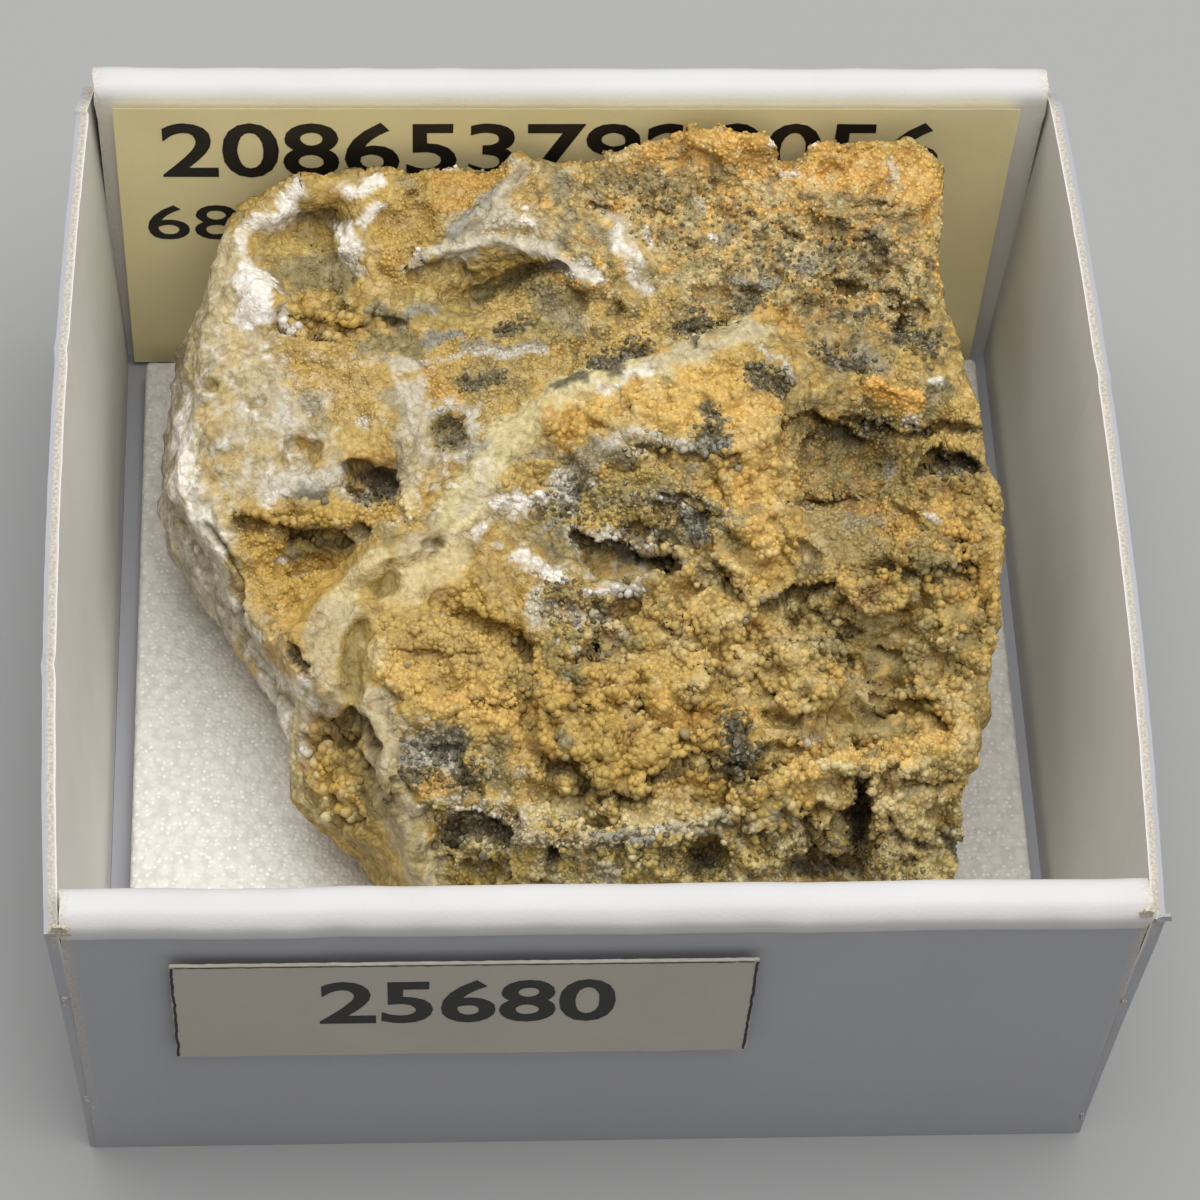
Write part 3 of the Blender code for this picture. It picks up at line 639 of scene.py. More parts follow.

# Patches laid over the ground, in the same terms. The darkest brown ones are painted shadow in slits, caves
# and under ledges.
patches = [
    ("oliveGrey", 26, 0.9, (285, 272), (335, 265)),
    ("oliveYellow", 12, 0.8, (272, 242), (335, 240)),
    ("olive", 9, 0.9, (308, 219), (335, 222)),
    ("oliveGrey", 14, 0.9, (362, 348), (405, 345)),
    ("grey", 10, 0.8, (380, 312), (402, 320)),
    ("greyBlue", 6, 0.8, (412, 312), (432, 308)),
    ("deepOchre", 8, 0.8, (292, 324), (372, 322)),
    ("deepOchre", 7, 0.7, (300, 372), (340, 372)),
    ("greyBlue", 7, 0.9, (428, 340), (460, 335)),
    ("darkGrey", 7, 0.9, (504, 330), (526, 322)),
    ("greyBlue", 7, 0.7, (460, 346), (540, 348)),
    ("oliveGrey", 14, 0.6, (470, 375), (520, 378)),
    ("darkGrey", 6, 0.7, (465, 385), (500, 380)),
    ("amber", 10, 0.7, (425, 372), (455, 395)),
    ("whiteGrey", 5, 0.8, (310, 364), (360, 366), (420, 361), (480, 352), (545, 350)),
    ("whiteGrey", 10, 0.6, (400, 390), (420, 380), (410, 430)),
    ("amber", 12, 0.8, (440, 180), (505, 178)),
    ("amber", 10, 0.7, (430, 206), (470, 202)),
    ("amber", 8, 0.7, (385, 262), (395, 258)),
    ("oliveGrey", 8, 0.6, (405, 180), (415, 186)),
    ("rust", 6, 0.5, (232, 338), (240, 350)),
    ("paleTan", 10, 0.6, (226, 305), (234, 362)),
    ("oliveYellow", 9, 0.7, (204, 388), (224, 390)),
    ("ochre", 8, 0.6, (204, 412), (212, 430)),
    ("ochre", 4, 0.5, (204, 464), (240, 455)),
    ("ochre", 12, 0.8, (345, 438), (375, 446)),
    ("ochre", 26, 0.75, (306, 376), (340, 372), (372, 392)),
    ("ochre", 16, 0.6, (345, 408), (368, 412)),
    ("ochre", 14, 0.6, (290, 345), (345, 342)),
    ("grey", 10, 0.6, (305, 402), (322, 412)),
    ("grey", 9, 0.6, (392, 395), (400, 412)),
    ("whiteGrey", 8, 0.7, (285, 395), (290, 425)),
    ("deepOchre", 9, 0.6, (385, 215), (380, 242)),
    ("oliveGrey", 12, 0.6, (548, 165), (562, 186)),
    ("olive", 10, 0.6, (588, 158), (602, 178)),
    ("grey", 15, 0.6, (548, 300), (575, 332)),
    ("darkGrey", 6, 0.6, (862, 197), (880, 199)),
    ("grey", 7, 0.6, (876, 224), (873, 242)),
    ("grey", 8, 0.6, (718, 240), (736, 231)),
    ("darkGrey", 5, 0.5, (664, 232), (686, 229)),
    ("grey", 12, 0.6, (865, 263), (892, 257)),
    ("paleTan", 6, 0.7, (914, 372), (936, 380)),
    ("oliveGrey", 13, 0.7, (934, 402), (952, 394)),
    ("sand", 20, 0.7, (830, 545), (862, 562)),
    ("amber", 20, 0.5, (665, 702), (692, 728)),
    ("amber", 8, 0.6, (700, 715), (755, 716)),
    ("ochre", 6, 0.7, (768, 730), (796, 744)),
    ("ochre", 8, 0.8, (239, 648), (250, 668)),
    ("beige", 15, 0.6, (500, 212), (540, 232)),
    ("whiteGrey", 17, 0.7, (522, 172), (500, 205), (468, 230)),
    ("greyBlue", 5, 0.8, (505, 176), (482, 205), (450, 232)),
    ("whiteGrey", 11, 0.85, (412, 270), (440, 252), (500, 240), (548, 250), (590, 278)),
    ("tan", 13, 0.8, (425, 286), (462, 290)),
    ("olive", 8, 0.9, (480, 292), (532, 275)),
    ("tan", 15, 0.8, (480, 318), (520, 308)),
    ("grey", 12, 0.6, (560, 180), (600, 200)),
    ("oliveGrey", 14, 0.7, (610, 180), (690, 180), (690, 215)),
    ("grey", 9, 0.7, (570, 215), (560, 235)),
    ("grey", 10, 0.7, (590, 232), (612, 240)),
    ("oliveGrey", 21, 0.95, (448, 432)),
    ("olive", 10, 0.8, (446, 426)),
    ("grey", 9, 0.7, (458, 438)),
    ("whiteGrey", 6, 0.9, (428, 413), (450, 405), (472, 416), (477, 440), (460, 457), (434, 456)),
    ("greyBlue", 6, 0.6, (474, 452), (484, 444)),
    ("beige", 7, 0.8, (424, 420), (424, 446)),
    ("cream", 14, 0.95, (560, 395), (640, 370), (700, 349), (765, 320)),
    ("beige", 10, 0.8, (650, 365), (760, 325)),
    ("paintedShadow", 9, 0.9, (350, 470), (392, 486)),
    ("darkGrey", 8, 0.8, (358, 496), (388, 496)),
    ("amber", 8, 0.8, (350, 455), (392, 464)),
    ("deepOchre", 9, 0.8, (300, 440), (320, 455)),
    ("olive", 6, 0.8, (312, 447)),
    ("beige", 9, 0.95, (408, 445), (404, 480), (411, 500)),
    ("paleTan", 13, 0.95, (411, 505)),
    ("oliveGrey", 6, 0.6, (424, 455), (426, 466)),
    ("deepOchre", 6, 0.7, (427, 475), (428, 500)),
    ("whiteGrey", 14, 0.85, (265, 485), (330, 478)),
    ("oliveGrey", 6, 0.7, (175, 505), (205, 560), (235, 620), (290, 700)),
    ("oliveGrey", 4, 0.6, (208, 505), (232, 570), (262, 640)),
    ("whiteGrey", 6, 0.8, (196, 530), (225, 600), (275, 680)),
    # The same band down the left edge: partly the stone's colour, partly painted shade on that flank.
    ("brownGrey", 12, 0.8, (178, 300), (166, 400), (160, 470)),
    ("darkGrey", 8, 0.85, (286, 500), (325, 491)),
    ("greyBlue", 6, 0.6, (300, 487), (318, 483)),
    ("deepOchre", 13, 0.85, (250, 512), (300, 516), (345, 514), (390, 512)),
    ("olive", 10, 0.7, (360, 525), (390, 535)),
    ("paintedShadow", 5, 0.9, (285, 535), (345, 543)),
    ("olive", 12, 0.7, (285, 548), (325, 548)),
    ("grey", 7, 0.6, (285, 545), (295, 552)),
    ("oliveYellow", 14, 0.9, (358, 635), (352, 660), (350, 695)),
    ("oliveYellow", 9, 0.8, (380, 592), (392, 585)),
    ("paintedShadow", 5, 0.8, (293, 655), (303, 668)),
    ("olive", 12, 0.7, (345, 740), (372, 790)),
    ("cream", 6, 0.8, (300, 705), (292, 740), (300, 790), (325, 818)),
    ("greyBlue", 18, 0.85, (415, 752), (455, 742)),
    ("whiteGrey", 8, 0.7, (420, 755), (450, 765)),
    ("darkGrey", 8, 0.7, (405, 775), (440, 785), (480, 772)),
    ("oliveGrey", 16, 0.8, (500, 752), (500, 775)),
    ("amber", 8, 0.7, (448, 780), (430, 795)),
    ("darkGrey", 14, 0.85, (452, 834), (500, 834)),
    ("whiteGrey", 7, 0.7, (450, 805), (500, 812)),
    ("deepOchre", 16, 0.6, (446, 602), (515, 632)),
    ("rust", 8, 0.5, (530, 745), (570, 770)),
    ("amber", 12, 0.8, (548, 422), (600, 428)),
    ("ochre", 13, 0.8, (512, 474), (560, 478)),
    ("olive", 10, 0.6, (560, 475), (600, 470)),
    ("darkGrey", 9, 0.9, (600, 362), (640, 350)),
    ("darkGrey", 7, 0.9, (612, 370), (622, 374)),
    ("darkGrey", 6, 0.9, (558, 386), (586, 382)),
    ("darkGrey", 8, 0.85, (686, 328), (706, 320)),
    ("darkGrey", 7, 0.8, (780, 252), (790, 260)),
    ("greyBlue", 8, 0.7, (804, 268), (812, 262)),
    ("darkGrey", 9, 0.75, (762, 300), (742, 306)),
    ("greyBlue", 6, 0.8, (735, 282), (772, 284)),
    ("plum", 8, 0.9, (826, 352), (862, 366)),
    ("darkGrey", 9, 0.85, (904, 336), (932, 346)),
    ("grey", 8, 0.7, (880, 370), (860, 350)),
    ("amber", 12, 0.8, (770, 310), (795, 325)),
    ("whiteGrey", 5, 0.9, (762, 345), (785, 360), (790, 378)),
    ("darkGrey", 12, 0.85, (758, 372), (780, 385)),
    ("darkGrey", 7, 0.9, (712, 408), (716, 420)),
    ("darkGrey", 9, 0.85, (704, 436), (722, 445)),
    ("greyBlue", 7, 0.7, (690, 452), (728, 442)),
    ("beige", 11, 0.6, (655, 438), (628, 450)),
    ("whiteGrey", 6, 0.8, (600, 442), (640, 434), (690, 452)),
    ("whiteGrey", 8, 0.8, (562, 478), (580, 508)),
    ("oliveYellow", 13, 0.8, (605, 482), (655, 480)),
    ("oliveYellow", 11, 0.7, (566, 452), (600, 458)),
    ("ochre", 10, 0.7, (590, 522), (645, 516)),
    ("whiteGrey", 7, 0.8, (655, 500), (690, 515)),
    ("amber", 9, 0.7, (600, 470), (560, 440)),
    ("paleTan", 13, 0.7, (376, 655)),
    ("grey", 12, 0.8, (600, 450), (575, 468)),
    ("orange", 12, 0.95, (872, 388), (914, 400)),
    ("orange", 8, 0.9, (908, 414)),
    ("whiteGrey", 5, 0.8, (905, 424), (920, 424)),
    ("darkGrey", 13, 0.75, (868, 420), (880, 425)),
    ("olive", 8, 0.8, (930, 385), (945, 400)),
    ("darkGrey", 8, 0.6, (930, 395), (950, 385)),
    ("paintedShadow", 6, 0.8, (802, 425), (850, 441)),
    ("greyBlue", 6, 0.8, (884, 472), (888, 462)),
    ("darkGrey", 9, 0.85, (942, 462), (968, 464)),
    ("amber", 8, 0.35, (705, 490), (790, 482)),
    ("greyBlue", 10, 0.8, (690, 520), (702, 530)),
    ("darkGrey", 8, 0.7, (665, 530), (700, 540)),
    ("whiteGrey", 7, 0.8, (590, 533), (650, 546)),
    ("rust", 5, 0.6, (862, 602), (884, 584)),
    ("amber", 10, 0.7, (880, 512), (905, 532)),
    ("sand", 16, 0.8, (830, 525), (870, 545)),
    ("grey", 8, 0.6, (855, 518), (880, 522)),
    ("whiteGrey", 4, 0.9, (925, 516), (942, 519)),
    ("oliveGrey", 14, 0.7, (920, 570), (940, 560)),
    ("darkGrey", 8, 0.6, (820, 570), (800, 572)),
    ("grey", 8, 0.7, (560, 735), (572, 742)),
    ("darkGrey", 14, 0.95, (735, 728), (738, 772)),
    ("darkGrey", 8, 0.9, (758, 752), (722, 765)),
    ("whiteGrey", 4, 0.7, (805, 740), (815, 738)),
    ("peach", 14, 0.8, (800, 765), (870, 762), (950, 732)),
    ("cream", 6, 0.7, (822, 762), (865, 786)),
    ("beige", 7, 0.9, (500, 832), (560, 846), (620, 838), (690, 826), (725, 814)),
    ("whiteGrey", 5, 0.7, (655, 826), (705, 836)),
    ("greyBlue", 5, 0.8, (595, 836), (650, 836)),
    ("greyBlue", 6, 0.6, (770, 815), (800, 820)),
    ("paintedShadow", 10, 0.8, (705, 862)),
    ("paintedShadow", 11, 0.8, (800, 866), (842, 866)),
    ("paintedShadow", 8, 0.9, (863, 786), (860, 842)),
    ("paintedShadow", 8, 0.8, (555, 856)),
    ("darkGrey", 9, 0.8, (952, 838), (960, 852)),
    ("greyBlue", 7, 0.6, (590, 870), (610, 872)),
    # White crusts on top
    ("white", 10, 0.9, (258, 226), (292, 214)),
    ("white", 9, 0.9, (300, 190), (286, 205)),
    ("white", 8, 0.9, (350, 186), (386, 184)),
    ("white", 6, 0.8, (378, 206), (364, 222)),
    ("white", 9, 0.9, (344, 230), (352, 252)),
    ("whiteGrey", 8, 0.8, (352, 256), (358, 268)),
    ("white", 23, 1.0, (262, 300)),
    ("white", 15, 1.0, (246, 277), (262, 285)),
    ("white", 13, 0.9, (278, 318), (248, 318)),
    ("white", 8, 0.6, (240, 228), (246, 262)),
    ("white", 7, 0.8, (434, 165), (460, 160)),
    ("white", 5, 0.8, (412, 262), (420, 256)),
    ("white", 5, 0.8, (560, 262), (600, 285)),
    ("white", 4, 0.7, (524, 215), (534, 222)),
    ("white", 7, 0.95, (180, 412), (182, 480)),
    ("whiteGrey", 11, 0.6, (612, 215), (632, 262), (645, 290)),
    ("white", 5, 0.6, (614, 218), (620, 244)),
    ("white", 5, 0.6, (618, 248), (634, 254), (648, 264)),
    ("white", 5, 0.55, (630, 268), (638, 286), (648, 294)),
    ("white", 5, 0.7, (645, 235), (652, 240)),
    ("whiteGrey", 5, 0.7, (697, 200), (706, 203)),
    ("white", 4, 0.8, (714, 235)),
    ("white", 4, 0.9, (768, 146), (786, 141)),
    ("white", 5, 0.9, (812, 142), (850, 132)),
    ("whiteGrey", 4, 0.7, (885, 160), (888, 182)),
    ("white", 4, 0.8, (788, 172), (794, 176)),
    ("white", 6, 0.7, (600, 388), (650, 372)),
    ("white", 8, 0.9, (502, 505), (540, 496)),
    ("white", 7, 0.9, (478, 530), (486, 525)),
    ("white", 9, 0.9, (520, 560), (560, 578)),
    ("white", 6, 0.8, (585, 591), (645, 590)),
    ("whiteGrey", 6, 0.8, (575, 618), (590, 612)),
    ("white", 5, 0.7, (930, 376), (940, 380)),
    ("white", 5, 0.6, (265, 500), (285, 498)),
    ("white", 4, 0.8, (272, 562), (282, 560)),
]

# Mottling in a zone: colour, lump size in mm, share covered, strength, half width in pixels, then the line
mottles = [
    ("olive", 1.1, 0.34, 0.6, 75, (620, 200), (880, 290)),
    ("amber", 0.9, 0.34, 0.7, 50, (600, 180), (860, 190)),
    ("amber", 0.7, 0.28, 0.6, 60, (620, 250), (880, 270)),
    ("oliveGrey", 0.6, 0.25, 0.6, 80, (600, 200), (900, 300)),
    ("darkGrey", 0.5, 0.1, 0.6, 80, (600, 230), (900, 310)),
    ("cream", 0.4, 0.12, 0.6, 80, (600, 200), (880, 260)),
    ("orange", 0.6, 0.24, 0.7, 90, (600, 210), (880, 250)),
    ("paleTan", 0.8, 0.24, 0.6, 90, (600, 210), (880, 250)),
    ("darkGrey", 0.8, 0.1, 0.7, 80, (760, 230), (900, 300)),
    ("olive", 0.7, 0.35, 0.6, 45, (480, 290), (720, 290)),
    ("paleTan", 0.6, 0.25, 0.6, 40, (560, 290), (690, 290)),
    ("darkGrey", 0.4, 0.12, 0.6, 45, (520, 320), (720, 320)),
    ("whiteGrey", 1.3, 0.35, 0.6, 90, (230, 400), (400, 460)),
    ("ochre", 0.6, 0.3, 0.6, 34, (275, 265), (345, 262)),
    ("grey", 0.5, 0.25, 0.5, 34, (275, 265), (345, 262)),
    ("olive", 0.5, 0.16, 0.5, 90, (225, 380), (400, 450)),
    ("white", 0.5, 0.14, 0.5, 90, (225, 380), (400, 450)),
    ("oliveGrey", 0.8, 0.16, 0.4, 90, (230, 390), (400, 450)),
    ("tan", 1.2, 0.25, 0.5, 90, (230, 430), (400, 420)),
    ("sand", 0.5, 0.15, 0.4, 100, (230, 380), (420, 440)),
    ("greyBlue", 0.7, 0.28, 0.8, 55, (560, 490), (690, 520)),
    ("darkGrey", 1.0, 0.26, 0.7, 70, (560, 490), (690, 520), (590, 620)),
    ("olive", 0.6, 0.3, 0.6, 70, (560, 480), (690, 520), (590, 620)),
    ("whiteGrey", 1.0, 0.24, 0.85, 60, (540, 510), (620, 520), (580, 600)),
    ("oliveYellow", 0.5, 0.22, 0.7, 60, (560, 490), (690, 520), (590, 620)),
    ("rust", 0.5, 0.1, 0.35, 90, (860, 470), (920, 680)),
    ("olive", 0.8, 0.36, 0.6, 100, (860, 450), (930, 700)),
    ("oliveGrey", 0.7, 0.22, 0.6, 60, (840, 640), (930, 620)),
    ("rust", 0.6, 0.1, 0.5, 60, (690, 470), (830, 520)),
    ("amber", 0.7, 0.2, 0.4, 90, (880, 480), (940, 660)),
    ("darkGrey", 0.45, 0.1, 0.5, 100, (860, 450), (930, 700)),
    ("darkGrey", 0.7, 0.16, 0.6, 45, (450, 850), (960, 860)),
    ("greyBlue", 0.6, 0.2, 0.6, 45, (450, 850), (900, 860)),
    ("oliveYellow", 0.6, 0.35, 0.7, 50, (450, 840), (960, 850)),
    ("paleTan", 0.9, 0.3, 0.5, 110, (700, 660), (900, 720)),
    ("peach", 0.8, 0.25, 0.5, 110, (640, 640), (860, 740)),
    ("cream", 0.6, 0.32, 0.7, 50, (450, 840), (960, 850)),
    ("paleTan", 0.8, 0.3, 0.6, 60, (880, 790), (930, 860)),
    ("darkGrey", 0.7, 0.28, 0.7, 50, (430, 775), (500, 800)),
    ("oliveYellow", 0.6, 0.3, 0.6, 50, (430, 770), (510, 810)),
    ("whiteGrey", 0.5, 0.22, 0.7, 50, (420, 760), (490, 800)),
    ("grey", 0.9, 0.3, 0.5, 45, (175, 400), (200, 560), (290, 700)),
    ("cream", 0.7, 0.2, 0.5, 45, (175, 400), (200, 560), (290, 700)),
    ("rust", 0.5, 0.12, 0.4, 50, (330, 730), (345, 800)),
    ("olive", 0.7, 0.35, 0.6, 50, (330, 730), (345, 800)),
    ("cream", 0.5, 0.12, 0.6, 50, (330, 730), (345, 800)),
    ("amber", 1.4, 0.3, 0.25, 150, (440, 690), (700, 720)),
    ("rust", 0.6, 0.08, 0.25, 150, (440, 680), (700, 720)),
    ("oliveYellow", 1.0, 0.25, 0.35, 150, (440, 690), (780, 680)),
    ("orange", 1.2, 0.22, 0.2, 90, (660, 410), (750, 540)),
    ("deepOchre", 0.8, 0.22, 0.5, 70, (600, 410), (700, 400), (750, 520)),
    ("paleTan", 1.0, 0.3, 0.35, 90, (660, 410), (750, 540)),
]

# Crust of balls: zone's half width in pixels, share covered, smallest and largest ball in mm, then the line
ballZones = [
    (46, 1.0, 0.24, 0.42, (640, 420), (740, 410)),
    (44, 1.0, 0.24, 0.42, (750, 450), (752, 510)),
    (36, 1.0, 0.24, 0.4, (755, 560)),
    (20, 0.9, 0.28, 0.5, (545, 420), (625, 425)),
    (16, 0.9, 0.26, 0.42, (510, 475), (565, 478)),
    (58, 1.0, 0.26, 0.5, (590, 740), (660, 735)),
    (52, 1.0, 0.24, 0.42, (560, 690), (680, 680)),
    (42, 1.0, 0.22, 0.4, (400, 660), (490, 690)),
    (34, 1.0, 0.22, 0.38, (470, 620), (500, 720)),
    (54, 0.9, 0.24, 0.44, (640, 640), (790, 660)),
    (30, 0.9, 0.24, 0.44, (690, 600), (660, 570)),
    (30, 0.9, 0.24, 0.48, (800, 690), (830, 660)),
    (44, 0.9, 0.24, 0.46, (940, 690), (955, 610)),
    (34, 0.85, 0.24, 0.42, (950, 560), (975, 510)),
    (28, 0.85, 0.22, 0.4, (830, 590), (885, 590)),
    (26, 0.85, 0.22, 0.42, (800, 770), (950, 755)),
    (34, 0.8, 0.24, 0.44, (900, 800), (930, 860)),
    (26, 0.85, 0.24, 0.44, (700, 795), (780, 800)),
    (24, 0.8, 0.22, 0.4, (560, 810), (680, 812)),
    (26, 0.7, 0.22, 0.38, (620, 860), (760, 862)),
    (20, 0.7, 0.22, 0.36, (500, 870), (560, 875)),
    (15, 0.95, 0.24, 0.42, (250, 514), (345, 516)),
    (20, 0.85, 0.22, 0.36, (360, 520), (400, 520)),
    (30, 0.8, 0.2, 0.32, (260, 560), (300, 600)),
    (11, 1.0, 0.34, 0.58, (292, 326), (372, 322)),
    (26, 0.9, 0.26, 0.56, (330, 740), (345, 800)),
]

# Where the balls are fused into a sheet: half width in pixels, share, then the line
fusedZones = [
    (46, 1.0, (640, 420), (740, 410)),
    (44, 1.0, (750, 450), (752, 510)),
    (36, 1.0, (755, 560)),
    (42, 0.6, (400, 660), (490, 690)),
    (40, 0.8, (260, 560), (300, 610)),
    (60, 0.5, (620, 690), (760, 690)),
]

# Crumbly crust, in the same terms as the balls
grainZones = [
    (80, 0.6, 0.12, 0.26, (640, 185), (900, 190)),
    (70, 0.65, 0.12, 0.26, (700, 255), (890, 265)),
    (60, 0.8, 0.12, 0.26, (545, 320), (720, 300)),
    (36, 0.85, 0.11, 0.23, (500, 375), (455, 370)),
    (34, 0.6, 0.11, 0.2, (310, 385), (370, 395)),
    (20, 0.5, 0.11, 0.19, (300, 345), (350, 350)),
    (26, 0.6, 0.11, 0.2, (285, 268), (335, 262)),
    (26, 0.85, 0.11, 0.25, (395, 200), (405, 260)),
    (38, 0.85, 0.12, 0.30, (880, 385), (940, 420)),
    (46, 0.85, 0.12, 0.30, (860, 490), (925, 540)),
    (40, 0.8, 0.12, 0.28, (815, 455), (860, 465)),
    (44, 0.85, 0.12, 0.28, (580, 500), (690, 500)),
    (36, 0.85, 0.12, 0.30, (560, 600), (600, 645), (560, 650)),
    (50, 0.6, 0.11, 0.25, (860, 640), (915, 690)),
    (30, 0.8, 0.12, 0.28, (460, 865), (640, 870), (770, 866)),
    (60, 0.8, 0.12, 0.30, (900, 790), (930, 870)),
    (46, 0.7, 0.11, 0.27, (430, 775), (510, 810)),
    (36, 0.8, 0.11, 0.23, (260, 560), (310, 600)),
    (40, 0.5, 0.10, 0.23, (430, 190), (500, 200)),
]

# Smoother stone, kept clear of the crust: zone's half width in pixels, share, then the line
bareZones = [
    (60, 0.85, (225, 400), (262, 455)),
    (26, 0.8, (400, 380), (415, 440)),
    (30, 0.7, (290, 450), (395, 452)),
    (36, 0.9, (228, 340), (226, 260)),
    (30, 1.0, (262, 300)),
    (18, 1.0, (455, 515), (500, 450), (560, 395)),
    (14, 1.0, (560, 395), (640, 370), (700, 349), (765, 320)),
    (26, 1.0, (300, 640), (330, 600), (380, 560), (440, 545)),
    (26, 1.0, (352, 630), (350, 690)),
    (22, 1.0, (200, 500), (240, 620), (290, 700), (365, 715), (390, 790), (425, 885)),
    (26, 1.0, (405, 595), (445, 560)),
    (8, 1.0, (412, 270), (440, 252), (500, 240), (548, 250), (590, 278)),
    (11, 1.0, (520, 172), (495, 205), (455, 236)),
    (9, 1.0, (614, 222), (622, 246), (650, 262)),
    (8, 1.0, (628, 282), (646, 294)),
    (24, 0.3, (285, 268), (335, 262)),
    (24, 0.9, (880, 640), (868, 690)),
    (20, 0.8, (850, 718), (890, 735)),
    (12, 0.9, (600, 572), (645, 577)),
    (11, 0.9, (258, 226), (300, 192), (386, 184)),
    (12, 0.9, (378, 206), (350, 250)),
    (40, 0.9, (150, 420), (165, 520), (215, 620), (270, 700)),
]

# Crust broken into clumps with hollows between: zone's half width in pixels, share, then the line
clumpZones = [
    (90, 1.0, (640, 740), (760, 700), (900, 650), (960, 560)),
    (60, 1.0, (600, 620), (700, 640), (800, 660)),
    (50, 1.0, (560, 700), (600, 750)),
    (50, 1.0, (700, 800), (940, 820)),
    (40, 0.9, (470, 860), (680, 860)),
    (60, 0.6, (700, 190), (880, 200)),
    (60, 0.6, (700, 260), (880, 270)),
    (40, 0.6, (560, 320), (720, 310)),
    (50, 0.7, (830, 450), (940, 480)),
    (40, 0.8, (570, 500), (690, 510)),
    (40, 0.8, (560, 600), (600, 640)),
    (44, 0.35, (660, 410), (750, 470)),
    (40, 0.5, (755, 560)),
    (60, 0.35, (420, 650), (500, 700)),
    (30, 0.8, (250, 516), (345, 518)),
    (30, 0.4, (260, 570), (300, 620)),
    (30, 0.9, (330, 740), (345, 800)),
    (40, 0.9, (430, 780), (500, 800)),
    (16, 0.9, (290, 324), (372, 322)),
    (30, 0.6, (400, 200), (410, 260)),
]

# Grey metallic crystals, in the same terms as the balls
crystalZones = [
    (16, 0.9, 0.22, 0.42, (735, 726), (738, 772)),
    (10, 0.8, 0.2, 0.36, (756, 750), (724, 764)),
    (12, 0.9, 0.2, 0.36, (600, 362), (642, 350)),
    (9, 0.8, 0.2, 0.34, (686, 328), (706, 320)),
    (14, 0.9, 0.2, 0.38, (758, 372), (780, 385)),
    (9, 0.9, 0.2, 0.34, (712, 408), (716, 420)),
    (12, 0.9, 0.2, 0.38, (704, 436), (722, 446)),
    (12, 0.7, 0.2, 0.34, (655, 440), (632, 455)),
    (12, 0.8, 0.2, 0.34, (904, 336), (932, 346)),
    (12, 0.8, 0.2, 0.34, (826, 352), (862, 366)),
    (14, 0.7, 0.2, 0.34, (868, 420), (880, 425)),
    (12, 0.9, 0.2, 0.38, (942, 462), (968, 464)),
    (20, 0.6, 0.2, 0.36, (415, 752), (455, 742)),
    (16, 0.7, 0.2, 0.36, (405, 775), (480, 772)),
    (18, 0.7, 0.22, 0.38, (452, 834), (504, 834)),
    (24, 0.5, 0.18, 0.32, (570, 500), (690, 520)),
    (24, 0.5, 0.18, 0.32, (590, 620), (560, 600)),
    (10, 0.8, 0.2, 0.36, (952, 838), (960, 852)),
    (8, 0.8, 0.18, 0.3, (504, 330), (526, 322)),
    (7, 0.7, 0.18, 0.3, (465, 385), (500, 380)),
    (10, 0.6, 0.18, 0.3, (762, 300), (742, 306)),
    (8, 0.6, 0.18, 0.3, (780, 252), (812, 266)),
    (9, 0.6, 0.18, 0.3, (358, 496), (388, 496)),
    (24, 0.35, 0.18, 0.32, (560, 850), (900, 862)),
    (40, 0.12, 0.16, 0.28, (640, 200), (880, 290)),
    (17, 0.5, 0.16, 0.28, (449, 434)),
]


def normed(rows):
    return rows / np.linalg.norm(rows, axis=1)[:, None]


turnedAway = -0.15   # faces beyond this aren't seen in the photograph


# Where the photograph shows each place, and how squarely it faces the lens.
def cast(points, facing):
    across, down = toPhoto(points)
    return across, down, (facing * normed(eyePlace - points)).sum(axis=1)


# The solid's own form, merged and remeshed finely, finest where the photograph sees it.
def stoneBlank():
    blank = copyOf("smithsonite_specimen")
    applied(blank, "REMESH", mode="VOXEL", voxel_size=stone["voxel"])
    applied(blank, "SMOOTH", factor=0.5, iterations=stone["smoothing"])
    mesh = blank.data
    _, _, square = cast(coordinates(mesh), normals(mesh))
    unseen = blank.vertex_groups.new(name="unseen")
    unseen.add(np.flatnonzero(square < turnedAway).tolist(), 1.0, "REPLACE")
    applied(blank, "DECIMATE", ratio=stone["thinning"], vertex_group="unseen", vertex_group_factor=1.0)
    blank.vertex_groups.clear()
    _, _, square = cast(coordinates(mesh), normals(mesh))
    seen = square > 0.12
    edit(blank, "DESELECT")
    bpy.ops.mesh.select_mode(type="FACE")
    editDone()
    corners = numbers(mesh.loops, "vertex_index", kind=int)
    first = numbers(mesh.polygons, "loop_start", kind=int)
    mesh.polygons.foreach_set("select", np.minimum.reduceat(seen[corners], first))
    bpy.ops.object.mode_set(mode="EDIT")
    bpy.ops.mesh.subdivide(number_cuts=1, smoothness=0.0)
    editDone()
    return blank


# How far each place lies in any of the zones
def within(zones, across, down):
    result = np.zeros(len(across))
    for halfWidth, share, *line in zones:
        near = soft((1.2 - strokeDistance(across, down, line) / halfWidth) / 0.4)
        result = np.maximum(result, share * near)
    return result


# Share covered and smallest and largest size at each place.
def zoneMap(points, facing, zones):
    across, down, square = cast(points, facing)
    wander = 7 * field(points, 1.1 * mm, 2, 61.0)
    share = np.zeros(len(points))
    low = np.full(len(points), 0.25)
    high = np.full(len(points), 0.4)
    for halfWidth, cover, smallest, largest, *line in zones:
        near = soft((1.15 - (strokeDistance(across, down, line) + wander) / halfWidth) / 0.3) * cover
        better = near > share
        share = np.where(better, near, share)
        low = np.where(better, smallest, low)
        high = np.where(better, largest, high)
    share = share * (1 - within(bareZones, across + wander, down))
    return np.where(square > 0.02, share, 0.0), low, high
